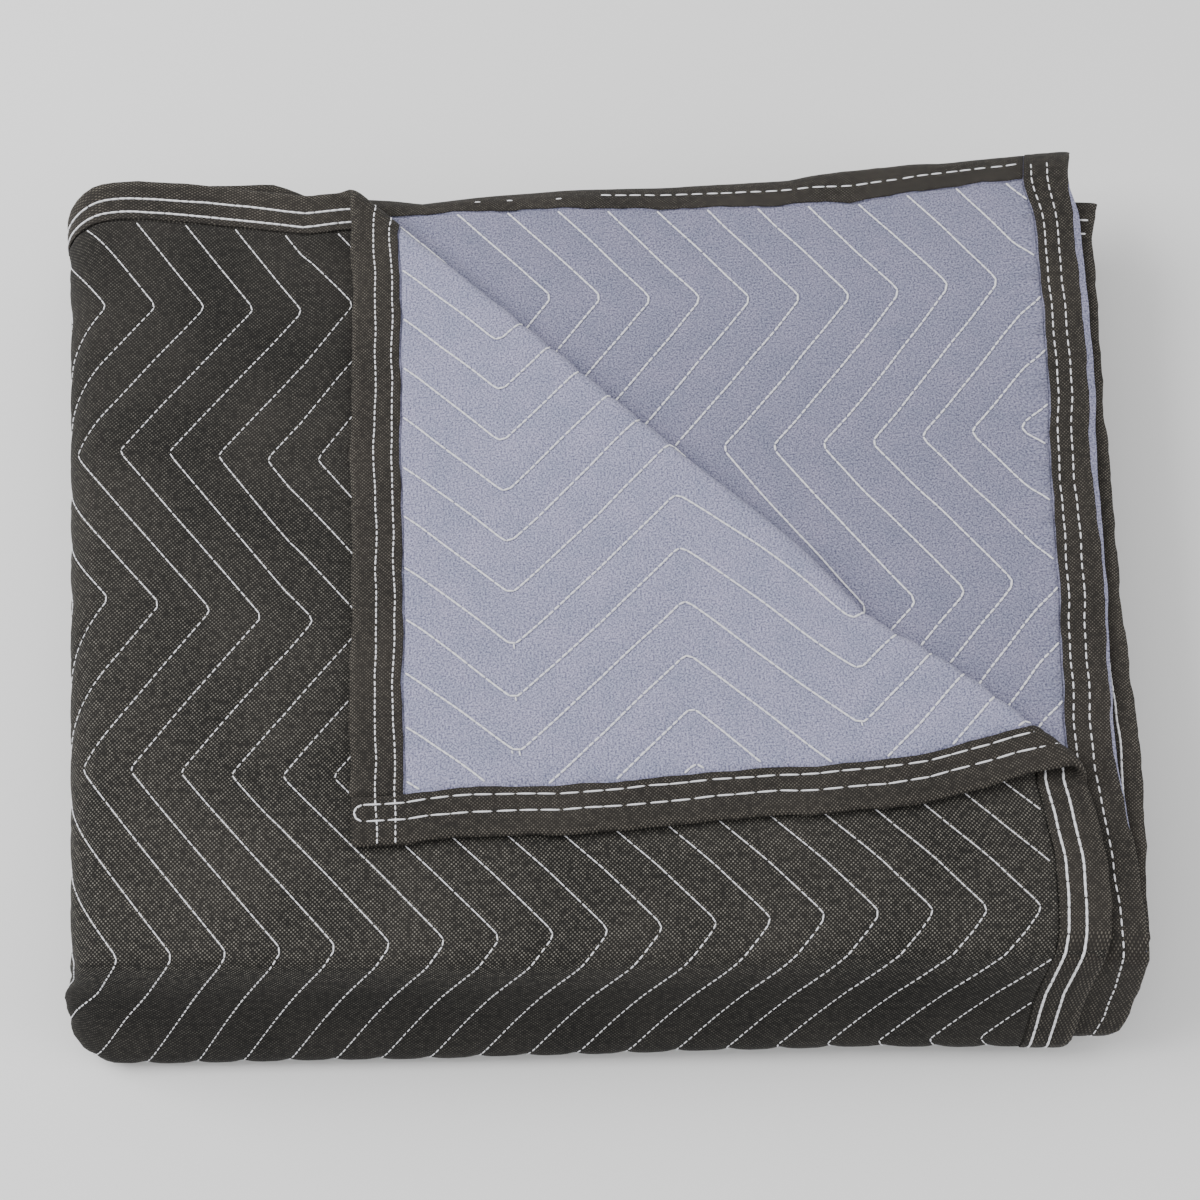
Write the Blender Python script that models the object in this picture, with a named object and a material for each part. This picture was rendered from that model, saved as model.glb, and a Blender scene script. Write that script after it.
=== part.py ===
"""A quilted moving pad, folded in four both ways, with the corner of its top layer turned back.

Every piece is cut and sewn flat first, in millimetres: u runs across the pad, v down it, and w through
its thickness from the woven face to the felt back. Four half turns then fold it, the corner is laid
back over the top, and the stack is left a little uneven. World axes: +X to the right, +Y to the back,
+Z up, with the origin under the middle of the footprint.
"""

import math

import bmesh
import bpy
from mathutils import Vector

MM = 0.001

# The stack. A slot is the height that one layer of the pad takes in it.
SLOT = 5.15
LAYERS = 16
HEIGHT = LAYERS * SLOT
RUN_X = 474.0  # flat run between the right-hand side and the left folds
RUN_Y = 419.0  # flat run between the back and the front folds
RIGHT_X = 250.0
BACK_Y = 245.0

# Each fold is a half turn. Its place is where it starts along the flat pad, its arc is the mean length
# of cloth in it, and its centre is the depth in the stack that the layers turn about.
ARC_HALF_X = math.pi * SLOT / 2
ARC_HALF_Y = math.pi * SLOT
ARC_LEFT = math.pi * SLOT * 2
ARC_FRONT = math.pi * SLOT * 4
HALF_X = 2 * RUN_X + ARC_LEFT
HALF_Y = 2 * RUN_Y + ARC_FRONT
WIDE = 2 * HALF_X + ARC_HALF_X
LONG = 2 * HALF_Y + ARC_HALF_Y
STEPS_HALF_X = 3
STEPS_HALF_Y = 4
STEPS_LEFT = 6
STEPS_FRONT = 8

# The two panels and the tape, as depths in a slot.
PANEL = 1.9
PANEL_GAP = 0.3
FIELD_TOP = (SLOT - 2 * PANEL - PANEL_GAP) / 2
RIM_PANEL = 1.1  # a panel pressed under the tape
RIM_TOP = (SLOT - 2 * RIM_PANEL - PANEL_GAP) / 2
RIM = 22.9  # how far in from the edge the panels stay pressed
RIM_RISE = 3.1  # and how much further they take to swell to full thickness
TAPE = 0.8
TAPE_GAP = 0.3
TAPE_SLACK = 0.6  # inside the tape's fold, past the panels' edge
TAPE_WIDE = 22.4
BUTT = 0.3  # between the end of one tape and the side of the next

# Quilting: parallel zigzag seams. Rows of turns lie across the pad, half a wave apart.
SEAM_PITCH = 25.4
SEAM_SWING = 70.0
HALF_WAVE = 85.0
SEAM_DEPTH = 1.1
SEAM_HALF_WIDE = 5.5
FIRST_TURN = 75.0
FACE_PHASE = 18.9  # the first seam's distance from the right-hand edge at the first row of turns
FACE_SKEW = 0.044  # how much nearer that edge the seams come for each mm down the pad
LEFT_PHASE = 14.0

# The corner that is turned back, as the two ends of its crease seen from above.
CREASE_BACK = Vector((-131.5, 230.0))
CREASE_FRONT = Vector((224.5, -98.0))
CREASE_GAP = 2.0  # half the space inside the turned corner's fold
REST_GAP = 0.05  # half the space under it where it has come down
CREASE_ARC = math.pi * (CREASE_GAP + SLOT / 2)
CREASE_STEPS = 8
CREASE_FALL = 70.0  # the run over which the turned corner comes down

# How far the pad was folded from true. The left folds lean out to the back, and the stack thins there.
LEAN = 0.09
THINNING = 0.04
SAG_RUN = 400.0  # where the back edges dip, in from each side edge
# The footprint's middle before this shift, and the height of the lowest face.
MIDDLE_X = -9.75
MIDDLE_Y = 23.74
LOWEST = SLOT / 2 - RIM_PANEL - PANEL_GAP / 2 - TAPE_GAP - TAPE

# How far each side edge is drawn in from true, at stations down the pad.
SIDE_TRIM = (
    # v, right-hand edge, left-hand edge
    (0.0, 17.0, 2.0),
    (RIM, 18.0, 4.0),
    (RUN_Y, 18.0, 5.0),
    (RUN_Y + ARC_FRONT / 2, 32.0, 20.0),
    (RUN_Y + ARC_FRONT, 40.0, 32.0),
    (HALF_Y, 5.0, 3.0),
    (HALF_Y + ARC_HALF_Y, 5.0, 3.0),
    (LONG - RUN_Y - ARC_FRONT, 16.0, 26.0),
    (LONG - RUN_Y - ARC_FRONT / 2, 10.0, 18.0),
    (LONG - RUN_Y, 5.0, -3.0),
    (LONG - RIM, 2.0, -6.0),
    (LONG, 1.0, -11.0),
)
# How far each end edge is drawn in from true, at stations across the pad.
END_TRIM = (
    # u, back edge, front edge
    (0.0, -7.0, 6.0),
    (SAG_RUN, 11.0, 8.0),
    (RUN_X, 3.0, 6.0),
    (RUN_X + ARC_LEFT, 3.0, 6.0),
    (HALF_X, 2.0, 5.0),
    (HALF_X + ARC_HALF_X, 2.0, 5.0),
    (WIDE - RUN_X - ARC_LEFT, 6.0, 8.0),
    (WIDE - RUN_X, 10.0, 8.0),
    (WIDE - SAG_RUN, 21.0, 9.0),
    (WIDE, -16.0, 12.0),
)

CUT_NEAR = 1e-3
FACING = 0.5  # the least upright share of a normal on a panel's two broad faces
SHARP_ANGLE = math.radians(50)
FINISHES = {
    # colour, roughness
    "woven_face": ((0.042, 0.041, 0.038, 1.0), 0.9),
    "felt_back": ((0.37, 0.38, 0.44, 1.0), 0.95),
    "binding_tape": ((0.048, 0.043, 0.037, 1.0), 0.85),
}


def clamped(value):
    """The value, held between 0 and 1."""
    return min(max(value, 0.0), 1.0)


def read_table(table, at, column):
    """A column of a table, read at a place between two of its rows."""
    rows = [row for row in zip(table, table[1:]) if row[0][0] < at]
    low, high = rows[-1] if rows else (table[0], table[1])
    share = clamped((at - low[0]) / (high[0] - low[0]))
    return low[column] + share * (high[column] - low[column])


def turned_over(along, depth, start, arc, centre, steps):
    """Where a point lies once the cloth past start has gone round a half turn of so many flat steps."""
    past = along - start
    if past <= 0:
        return along, depth
    if past >= arc:
        return start - (past - arc), 2 * centre - depth
    step = int(past / arc * steps)
    share = past / arc * steps - step
    low, high = math.pi * step / steps, math.pi * (step + 1) / steps
    out = math.sin(low) + share * (math.sin(high) - math.sin(low))
    over = math.cos(low) + share * (math.cos(high) - math.cos(low))
    radius = centre - depth
    return start + radius * out, centre - radius * over


def trimmed(u, v):
    """The flat place of a point once each edge is drawn in as far as the pad was folded from true."""
    across, down = u, v
    if u < RUN_X:
        across += read_table(SIDE_TRIM, v, 1) * (1 - u / RUN_X)
    elif u > WIDE - RUN_X:
        across -= read_table(SIDE_TRIM, v, 2) * (1 - (WIDE - u) / RUN_X)
    if v < RUN_Y:
        down += read_table(END_TRIM, u, 1) * (1 - v / RUN_Y)
    elif v > LONG - RUN_Y:
        down -= read_table(END_TRIM, u, 2) * (1 - (LONG - v) / RUN_Y)
    return across, down


def past_crease(x, y):
    """How far a place seen from above lies beyond the crease, towards the pad's free corner."""
    run = (CREASE_FRONT - CREASE_BACK).normalized()
    return (Vector((x, y)) - CREASE_BACK).dot(Vector((-run.y, run.x)))


def laid_back(x, y, z):
    """Turns the free corner of the top layer up and over its crease."""
    past = past_crease(x, y)
    centre = HEIGHT + CREASE_GAP
    moved, turned = turned_over(past, z, 0.0, CREASE_ARC, centre, CREASE_STEPS)
    fall = clamped((past - CREASE_ARC) / CREASE_FALL)
    run = (CREASE_FRONT - CREASE_BACK).normalized()
    step = moved - past
    return (
        x - run.y * step,
        y + run.x * step,
        turned - 2 * (CREASE_GAP - REST_GAP) * fall,
    )


def settled(x, y, z):
    """Leans the left folds and thins the stack towards the back, then puts the origin under its middle."""
    behind_front = max(y - BACK_Y + RUN_Y, 0.0)
    x -= LEAN * behind_front * clamped((RIGHT_X - SAG_RUN - x) / (RUN_X - SAG_RUN))
    thin = THINNING * behind_front / RUN_Y
    z = (z - LOWEST) * (1 - thin)
    return x - MIDDLE_X, y - MIDDLE_Y, z


def folded(u, v, w):
    """The world place of a point of the trimmed flat pad, in metres."""
    top_layer = u < RUN_X and v < RUN_Y
    s, depth = turned_over(u, w, HALF_X, ARC_HALF_X, SLOT, STEPS_HALF_X)
    t, depth = turned_over(v, depth, HALF_Y, ARC_HALF_Y, 2 * SLOT, STEPS_HALF_Y)
    s, depth = turned_over(s, depth, RUN_X, ARC_LEFT, 4 * SLOT, STEPS_LEFT)
    t, depth = turned_over(t, depth, RUN_Y, ARC_FRONT, 8 * SLOT, STEPS_FRONT)
    x, y, z = RIGHT_X - s, BACK_Y - t, HEIGHT - depth
    if top_layer:
        x, y, z = laid_back(x, y, z)
    return Vector(settled(x, y, z)) * MM


def arc_stations(start, arc, steps):
    """The ends of a fold's flat steps."""
    return [start + arc * step / steps for step in range(steps + 1)]


def stations_across():
    """Every place across the pad where a fold's steps or the back edge's dip need a cut."""
    near = arc_stations(RUN_X, ARC_LEFT, STEPS_LEFT) + [SAG_RUN]
    middle = arc_stations(HALF_X, ARC_HALF_X, STEPS_HALF_X)
    return near + middle + [WIDE - at for at in near]


def stations_down():
    """Every place down the pad where a fold's steps need a cut."""
    near = arc_stations(RUN_Y, ARC_FRONT, STEPS_FRONT)
    middle = arc_stations(HALF_Y, ARC_HALF_Y, STEPS_HALF_Y)
    return near + middle + [LONG - at for at in near]


def rim_stations(length):
    """The places near both ends of a length where the panels swell from under the tape."""
    near = [RIM, RIM + RIM_RISE]
    return near + [length - at for at in near]


def with_parts(faces):
    """Faces with their edges and corners, as the cutting operator takes them."""
    edges = {edge for face in faces for edge in face.edges}
    corners = {corner for face in faces for corner in face.verts}
    return list(faces) + list(edges) + list(corners)


def cut(bm, geometry, point, normal):
    """Cuts the geometry along an upright plane, and returns it with what the cut made."""
    return bmesh.ops.bisect_plane(
        bm,
        geom=geometry,
        dist=CUT_NEAR,
        plane_co=(*point, 0.0),
        plane_no=(*normal, 0.0),
    )["geom"]


def cut_stations(bm, across, down):
    """Cuts a flat piece at its stations across and down the pad."""
    geometry = bm.faces[:] + bm.edges[:] + bm.verts[:]
    for at in across:
        geometry = cut(bm, geometry, (at, 0.0), (1.0, 0.0))
    for at in down:
        geometry = cut(bm, geometry, (0.0, at), (0.0, 1.0))


class Quilting:
    """Zigzag seams on one side of a panel, within a window of the flat pad."""

    def __init__(self, u_from, u_to, v_to, edge, inward, phase, skew, shown):
        self.u_from, self.u_to, self.v_to = u_from, u_to, v_to
        self.edge, self.inward = edge, inward
        self.phase, self.skew = phase, skew
        self.shown = shown

    def seam(self, index, v):
        """How far in from the side edge a seam runs, at a place down the pad."""
        wave = (v - FIRST_TURN) / HALF_WAVE
        swing = abs((wave + 1) % 2 - 1)
        return self.phase + index * SEAM_PITCH + SEAM_SWING * swing - self.skew * (v - FIRST_TURN)

    def rows(self):
        """The rows of turns in the window, with its two ends."""
        first = FIRST_TURN % HALF_WAVE
        count = math.ceil((self.v_to - first) / HALF_WAVE)
        return [0.0] + [first + HALF_WAVE * row for row in range(count)] + [self.v_to]

    def dip(self, u, v):
        """How far a point of the window is drawn in by the nearest seam: not at all at its ends."""
        if v > self.v_to - CUT_NEAR or min(u - self.u_from, self.u_to - u) < CUT_NEAR:
            return 0.0
        inward = (u - self.edge) * self.inward
        near = (inward - self.seam(0, v)) / SEAM_PITCH
        off = abs(near - round(near)) * SEAM_PITCH
        return SEAM_DEPTH * clamped(1 - off / SEAM_HALF_WIDE)

    def holds(self, face, side):
        """Whether a face lies on that side of its panel, in the window, and is seen."""
        centre = face.calc_center_median()
        inside = self.u_from < centre.x < self.u_to and centre.y < self.v_to
        return side * face.normal.z > FACING and inside and self.shown(centre)

    def cut_into(self, bm, side):
        """Cuts the seams and the shoulders beside them into the faces on one side of a flat panel."""
        for low, high in zip(self.rows(), self.rows()[1:]):
            for row in (low, high):
                cut(bm, with_parts([f for f in bm.faces if self.holds(f, side)]), (0.0, row), (0.0, 1.0))
            faces = [
                f for f in bm.faces if self.holds(f, side) and low < f.calc_center_median().y < high
            ]
            if not faces:
                continue
            geometry = with_parts(faces)
            reach = [(v.co.x - self.edge) * self.inward for f in faces for v in f.verts]
            ends = [self.seam(0, low), self.seam(0, high)]
            first = math.floor((min(reach) - max(ends)) / SEAM_PITCH)
            last = math.ceil((max(reach) - min(ends)) / SEAM_PITCH)
            for index in range(first, last + 1):
                for aside in (-SEAM_HALF_WIDE, 0.0, SEAM_HALF_WIDE):
                    start = self.edge + self.inward * (self.seam(index, low) + aside)
                    end = self.edge + self.inward * (self.seam(index, high) + aside)
                    geometry = cut(bm, geometry, (start, low), (high - low, start - end))


def pressed(u, v):
    """How far a point lies under the tape: 1 on the rim, 0 on the field."""
    inward = min(u, WIDE - u, v, LONG - v)
    return 1 - clamped((inward - RIM) / RIM_RISE)


def crease_cuts(bm):
    """Cuts the top layer along the crease's steps, and where the turned corner has come down."""
    run = (CREASE_FRONT - CREASE_BACK).normalized()
    normal = Vector((-run.y, run.x))
    steps = arc_stations(0.0, CREASE_ARC, CREASE_STEPS) + [CREASE_ARC + CREASE_FALL]
    for past in steps:
        faces = [
            f
            for f in bm.faces
            if max(v.co.x for v in f.verts) < RUN_X + CUT_NEAR
            and max(v.co.y for v in f.verts) < RUN_Y + CUT_NEAR
        ]
        point = CREASE_BACK + normal * past
        cut(bm, with_parts(faces), (RIGHT_X - point.x, BACK_Y - point.y), (-normal.x, -normal.y))


def finish_piece(bm, name, finish):
    """Folds a flat piece and makes it an object."""
    for corner in bm.verts:
        corner.co.x, corner.co.y = trimmed(corner.co.x, corner.co.y)
    crease_cuts(bm)
    bmesh.ops.recalc_face_normals(bm, faces=bm.faces[:])
    bmesh.ops.triangulate(bm, faces=bm.faces[:])
    for corner in bm.verts:
        corner.co = folded(*corner.co)
    bmesh.ops.reverse_faces(bm, faces=bm.faces[:])  # each flat axis runs against its world axis
    mesh = bpy.data.meshes.new(name)
    bm.to_mesh(mesh)
    bm.free()
    mesh.materials.append(material(finish))
    mesh.shade_smooth()
    mesh.set_sharp_from_angle(angle=SHARP_ANGLE)
    piece = bpy.data.objects.new(name, mesh)
    bpy.data.collections["moving_pad"].objects.link(piece)
    return piece


def panel(name, finish, field, rim, quiltings, side):
    """One panel of the pad.

    field and rim are the depths of its two faces, away from the edges and under the tape. side is the
    flat direction that its quilted face looks in, -1 or 1.
    """
    bm = bmesh.new()
    bmesh.ops.create_cube(bm, size=1.0)
    bmesh.ops.scale(bm, verts=bm.verts, vec=(WIDE, LONG, 1.0))
    bmesh.ops.translate(bm, verts=bm.verts, vec=(WIDE / 2, LONG / 2, 0.0))
    cut_stations(bm, stations_across() + rim_stations(WIDE), stations_down() + rim_stations(LONG))
    for quilting in quiltings:
        quilting.cut_into(bm, side)
    shown = set()
    for face in bm.faces:
        if any(quilting.holds(face, side) for quilting in quiltings):
            shown.update(face.verts)
    dips = {}
    for corner in shown:
        here = next(q for q in quiltings if q.u_from - CUT_NEAR < corner.co.x < q.u_to + CUT_NEAR)
        dips[corner] = here.dip(corner.co.x, corner.co.y)
    for corner in bm.verts:
        press = pressed(corner.co.x, corner.co.y)
        face = 1 if corner.co.z > 0 else 0
        depth = field[face] + press * (rim[face] - field[face])
        corner.co.z = depth - side * (1 - press) * dips.get(corner, 0.0)
    return finish_piece(bm, name, finish)


def tape(name, length, stations, butt, flat):
    """A binding tape folded over one edge. flat puts a place across and along the tape on the pad."""
    outer = (LOWEST, SLOT - LOWEST)
    inner = (LOWEST + TAPE, SLOT - LOWEST - TAPE)
    fold = -TAPE_SLACK
    section = (
        (fold - TAPE, outer[0]),
        (TAPE_WIDE, outer[0]),
        (TAPE_WIDE, inner[0]),
        (fold, inner[0]),
        (fold, inner[1]),
        (TAPE_WIDE, inner[1]),
        (TAPE_WIDE, outer[1]),
        (fold - TAPE, outer[1]),
    )
    start = TAPE_WIDE + BUTT if butt else fold - TAPE
    bm = bmesh.new()
    end = bm.faces.new([bm.verts.new((across, start, w)) for across, w in section])
    made = bmesh.ops.extrude_face_region(bm, geom=[end], use_keep_orig=True)["geom"]
    moved = [part for part in made if isinstance(part, bmesh.types.BMVert)]
    bmesh.ops.translate(bm, verts=moved, vec=(0.0, length - 2 * start, 0.0))
    cut_stations(bm, [], stations)
    for corner in bm.verts:
        corner.co.x, corner.co.y = flat(corner.co.x, corner.co.y)
    return finish_piece(bm, name, "binding_tape")


def material(name):
    """The finish of that name, made the first time it is asked for."""
    made = bpy.data.materials.get(name)
    if made is None:
        colour, roughness = FINISHES[name]
        made = bpy.data.materials.new(name)
        made.use_nodes = True
        made.diffuse_color = colour
        shader = made.node_tree.nodes["Principled BSDF"]
        shader.inputs["Base Color"].default_value = colour
        shader.inputs["Roughness"].default_value = roughness
        shader.inputs["Metallic"].default_value = 0.0
    return made


def beyond_crease(centre):
    """A test for flat places, on the first layer or the second, that lie past the crease."""
    in_from_edge = min(centre.x, WIDE - centre.x)
    return past_crease(RIGHT_X - in_from_edge, BACK_Y - centre.y) > 0


def before_crease(centre):
    """A test for flat places that the turned corner doesn't take with it."""
    on_top = centre.x < RUN_X and centre.y < RUN_Y
    return not on_top or past_crease(RIGHT_X - centre.x, BACK_Y - centre.y) < 0


def build():
    """Clears the scene and makes the six pieces."""
    for old in list(bpy.data.objects):
        bpy.data.objects.remove(old, do_unlink=True)
    collection = bpy.data.collections.new("moving_pad")
    bpy.context.scene.collection.children.link(collection)

    left_end, back_end = RUN_X + ARC_LEFT, HALF_Y + ARC_HALF_Y
    face_quilting = Quilting(0.0, left_end, back_end, 0.0, 1.0, FACE_PHASE, FACE_SKEW, before_crease)
    corner_quilting = Quilting(0.0, RUN_X, RUN_Y, 0.0, 1.0, FACE_PHASE, FACE_SKEW, beyond_crease)
    second_quilting = Quilting(
        WIDE - RUN_X, WIDE, RUN_Y, WIDE, -1.0, LEFT_PHASE, 0.0, beyond_crease
    )
    back_top = FIELD_TOP + PANEL + PANEL_GAP
    back_rim = RIM_TOP + RIM_PANEL + PANEL_GAP
    panel(
        "face_panel",
        "woven_face",
        (FIELD_TOP, FIELD_TOP + PANEL),
        (RIM_TOP, RIM_TOP + RIM_PANEL),
        [face_quilting],
        -1.0,
    )
    panel(
        "back_panel",
        "felt_back",
        (back_top, back_top + PANEL),
        (back_rim, back_rim + RIM_PANEL),
        [corner_quilting, second_quilting],
        1.0,
    )
    down, across = stations_down() + rim_stations(LONG), stations_across() + rim_stations(WIDE)
    tape("binding_right", LONG, down, False, lambda a, b: (a, b))
    tape("binding_left", LONG, down, False, lambda a, b: (WIDE - a, b))
    tape("binding_back", WIDE, across, True, lambda a, b: (b, a))
    tape("binding_front", WIDE, across, True, lambda a, b: (b, LONG - a))


build()
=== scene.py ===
"""Dresses the folded moving pad: quilted cloth, felt, binding tape, stitching, and a plain studio.

The cloth is drawn flat first, in millimetres: u runs across the pad, v down it, and w through its
thickness from the woven face to the felt back. FoldPlan then folds every point as the solids are folded.
"""

import logging
import math
from dataclasses import dataclass, field
from enum import Enum
from typing import Any, Callable, Iterable

import bmesh
import bpy
import numpy as np
from mathutils import Euler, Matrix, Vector


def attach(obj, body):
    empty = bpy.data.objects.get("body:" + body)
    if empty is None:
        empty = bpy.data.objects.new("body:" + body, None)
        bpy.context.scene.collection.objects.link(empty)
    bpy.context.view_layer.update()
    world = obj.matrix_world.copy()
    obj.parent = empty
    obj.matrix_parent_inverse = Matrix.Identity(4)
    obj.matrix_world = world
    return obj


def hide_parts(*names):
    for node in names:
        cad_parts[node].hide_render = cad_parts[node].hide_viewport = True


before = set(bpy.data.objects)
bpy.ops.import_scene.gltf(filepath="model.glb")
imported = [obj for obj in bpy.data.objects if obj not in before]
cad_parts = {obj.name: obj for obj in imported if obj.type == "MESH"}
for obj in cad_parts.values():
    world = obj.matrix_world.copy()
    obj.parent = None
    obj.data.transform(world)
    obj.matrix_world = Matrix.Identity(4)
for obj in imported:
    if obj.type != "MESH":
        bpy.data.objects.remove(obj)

LOG = logging.getLogger("moving_pad")
MM = 0.001
Array = np.ndarray


def wander(at: Array, seed: float, wave: float) -> Array:
    """A smooth, repeatable wandering between about -1 and 1.

    Args:
        at: Places along a line, in millimetres.
        seed: Which wandering it is.
        wave: The length of its longest wave, in millimetres.

    Returns:
        The wandering at each place.
    """
    turn = 2 * math.pi * np.asarray(at, float) / wave
    waves = np.sin(turn + seed) + 0.6 * np.sin(2.3 * turn + 1.7 * seed)
    return (waves + 0.35 * np.sin(4.9 * turn + 2.9 * seed)) / 1.95


def eased(low: float, high: float, at: Array) -> Array:
    """A smooth step from 0 at low to 1 at high.

    Args:
        low: Where it starts.
        high: Where it ends, which may lie below low.
        at: The places to read it at.

    Returns:
        The step's height at each place.
    """
    share = np.clip((np.asarray(at, float) - low) / (high - low), 0, 1)
    return share * share * (3 - 2 * share)


# What follows is how the cloth settles off the solids, in millimetres. Places are from the footprint's
# middle. First, how sharply the second layer's back hem bends: places to the right, and radii there.
HEM_BEND = (
    (-115, -98, -84, -60, 0, 60, 110, 145, 190, 235),
    (27.0, 21.0, 16.5, 20.0, 27.0, 31.0, 34.0, 60.0, 35.0, 29.0),
)
HEM_HANG = 28.0  # how much of it hangs
# How far the front fold draws back: places to the right, and distances there.
FRONT_TAPER = ((-200, -75, 130, 250), (0.0, 2.6, 9.5, 9.5))
FRONT_LEANS = (-50, 170)  # between these places to the right it goes from upright to leaning
LOW_LEFT_PUSH = 7.5  # how far the lower layers push out at the front left
BACK_LEFT_ROUND = 15.0  # how far the back left corner is rounded
LUMPINESS = 0.006  # how uneven the layers are, as a share of the height
EDGE_WANDER = 0.9  # how far the edges stray
CREASE_BOW = 7.0  # how far the crease bows out
TIP_DROOP = 9.0  # how far the turned corner's tip droops


@dataclass(frozen=True)
class FoldPlan:
    """The pad's sizes in millimetres, and the way it is folded, as in the solids."""

    slot: float = 5.15  # the height of one layer
    layers: int = 16
    run_x: float = 474.0  # flat run between the right-hand side and the left folds
    run_y: float = 419.0  # flat run between the back and the front folds
    right_x: float = 250.0  # where the right-hand side lies before the footprint is centred
    back_y: float = 245.0
    sag_run: float = 400.0  # how far from the right the left folds start to lean
    lean: float = 0.09  # how far they come in, as a share of the way back
    thinning: float = 0.04  # how much lower the stack is at the back, as a share
    middle: tuple[float, float] = (-9.75, 23.74)
    lowest: float = 0.225
    crease_back: tuple[float, float] = (-131.5, 230.0)
    crease_front: tuple[float, float] = (224.5, -98.0)
    crease_gap: float = 2.0  # half the space inside the turned corner's fold
    rest_gap: float = 0.05  # half the space under it where it has come down
    crease_fall: float = 70.0  # the run over which the turned corner comes down
    rim: float = 23.9  # how far in from the edge the panels stay pressed
    front_square: float = 5.5  # a round fold would have 2
    # How far the front fold stands out at its top, for a radius of 1, and how much further at its foot,
    # where it is upright and where it leans.
    front_reach: float = 0.2
    front_spread: float = 0.81
    leaning_reach: float = 0.04
    leaning_spread: float = 0.97
    side_trim: Array = field(init=False)
    end_trim: Array = field(init=False)
    front_shapes: tuple[Array, Array] = field(init=False)

    def __post_init__(self) -> None:
        """Works out how far each edge is drawn in, at stations along it."""
        run, arc, end = self.run_y, self.arc_front, self.long
        side = [
            # v, right-hand edge, left-hand edge
            (0, 14.5, -1),
            (self.rim, 14, 3.5),
            (32, 15.3, 3.4),
            (60, 14.5, 1.4),
            (90, 12.3, 1.6),
            (118, 9.8, 2.0),
            (168, 9.4, 4.4),
            (196, 9, 5),
            (218, 8.4, 3.6),
            (245, 7.6, 4.4),
            (262, 9, 5.6),
            (282, 12.3, 6.1),
            (297, 15.4, 6.3),
            (316, 19.2, 7.2),
            (328, 21.8, 7),
            (346, 23.3, 6),
            (362, 19.7, 4.5),
            (385, 16.6, 1.8),
            (run, 16.5, 0.2),
            (run + 0.3 * arc, 24.5, -0.5),
            (run + arc / 2, 26, 1.5),
            (run + arc, 33, 18),
            (self.half_y, 5, 3),
            (self.half_y + self.arc_half_y, 5, 3),
            (end - run - arc, 16, 26),
            (end - run - arc / 2, 10, 18),
            (end - run, 5, -1.5),
            (end - run + 70, 5, -6),
            (end - 200, 4, -4),
            (end - self.rim, 2, -7.4),
            (end, 1, -12.3),
        ]
        ends = [
            # u, back edge, front edge
            (0, -7, 6),
            (381, 8.6, 8),
            (self.sag_run, 12, 8),
            (437, 4, 7),
            (self.run_x, 1, 6),
            (self.run_x + self.arc_left, 1, 6),
            (self.half_x, 2, 5),
            (self.half_x + self.arc_half_x, 2, 5),
            (self.wide - self.run_x - self.arc_left, 6, 8),
            (self.wide - self.run_x, 3, 8),
            (self.wide - self.sag_run, 1, 9),
            (self.wide - 360, -4, 9),
            (self.wide - 330, -6, 9),
            (self.wide - 305, -7.4, 9),
            (self.wide - 270, -8.3, 9),
            (self.wide - 220, -8.2, 9),
            (self.wide - 165, -10.5, 9),
            (self.wide - 115, -12.4, 9.5),
            (self.wide - 80, -19.6, 9.5),
            (self.wide - 60, -22.9, 9.5),
            (self.wide - 27, -29, 9.5),
            (self.wide, -31.5, 9.5),
        ]
        object.__setattr__(self, "side_trim", np.array(side, float))
        object.__setattr__(self, "end_trim", np.array(ends, float))
        # The front fold's outlines for a radius of 1: shares of its length, reach ahead, and height. The
        # second one is where it leans.
        turn = np.linspace(0, math.pi, 400)
        up = np.sign(np.cos(turn)) * np.abs(np.cos(turn)) ** (2 / self.front_square)
        sunk = (1 - up) / 2
        shapes = []
        for reach in (
            self.front_reach + self.front_spread * sunk**1.5,
            self.leaning_reach + self.leaning_spread * sunk,
        ):
            out = np.sin(turn) ** (2 / self.front_square) * reach
            length = np.concatenate([[0], np.cumsum(np.hypot(np.diff(out), np.diff(up)))])
            shapes.append(np.stack([length / length[-1], out, up]))
        object.__setattr__(self, "front_shapes", tuple(shapes))

    @property
    def height(self) -> float:
        """The stack's height."""
        return self.layers * self.slot

    @property
    def arc_half_x(self) -> float:
        """The cloth in the fold across the pad's middle."""
        return math.pi * self.slot / 2

    @property
    def arc_half_y(self) -> float:
        """The cloth in the fold down the pad's middle."""
        return math.pi * self.slot

    @property
    def arc_left(self) -> float:
        """The cloth in the folds at the left."""
        return math.pi * self.slot * 2

    @property
    def arc_front(self) -> float:
        """The cloth in the fold at the front."""
        return math.pi * self.slot * 4

    @property
    def crease_arc(self) -> float:
        """The cloth in the turned corner's fold."""
        return math.pi * (self.crease_gap + self.slot / 2)

    @property
    def half_x(self) -> float:
        """Where the first fold across starts."""
        return 2 * self.run_x + self.arc_left

    @property
    def half_y(self) -> float:
        """Where the first fold down starts."""
        return 2 * self.run_y + self.arc_front

    @property
    def wide(self) -> float:
        """The flat pad's width."""
        return 2 * self.half_x + self.arc_half_x

    @property
    def long(self) -> float:
        """The flat pad's length."""
        return 2 * self.half_y + self.arc_half_y

    @property
    def run(self) -> Array:
        """The way along the crease, from its back end."""
        way = np.subtract(self.crease_front, self.crease_back)
        return way / np.linalg.norm(way)

    def past_crease(self, x: Array, y: Array) -> Array:
        """How far places seen from above lie beyond the crease, towards the free corner."""
        run = self.run
        return (y - self.crease_back[1]) * run[0] - (x - self.crease_back[0]) * run[1]

    def past_crease_flat(self, u: Array, v: Array) -> Array:
        """The same for drawn-in flat places on the first layer."""
        return self.past_crease(self.right_x - u, self.back_y - v)

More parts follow.
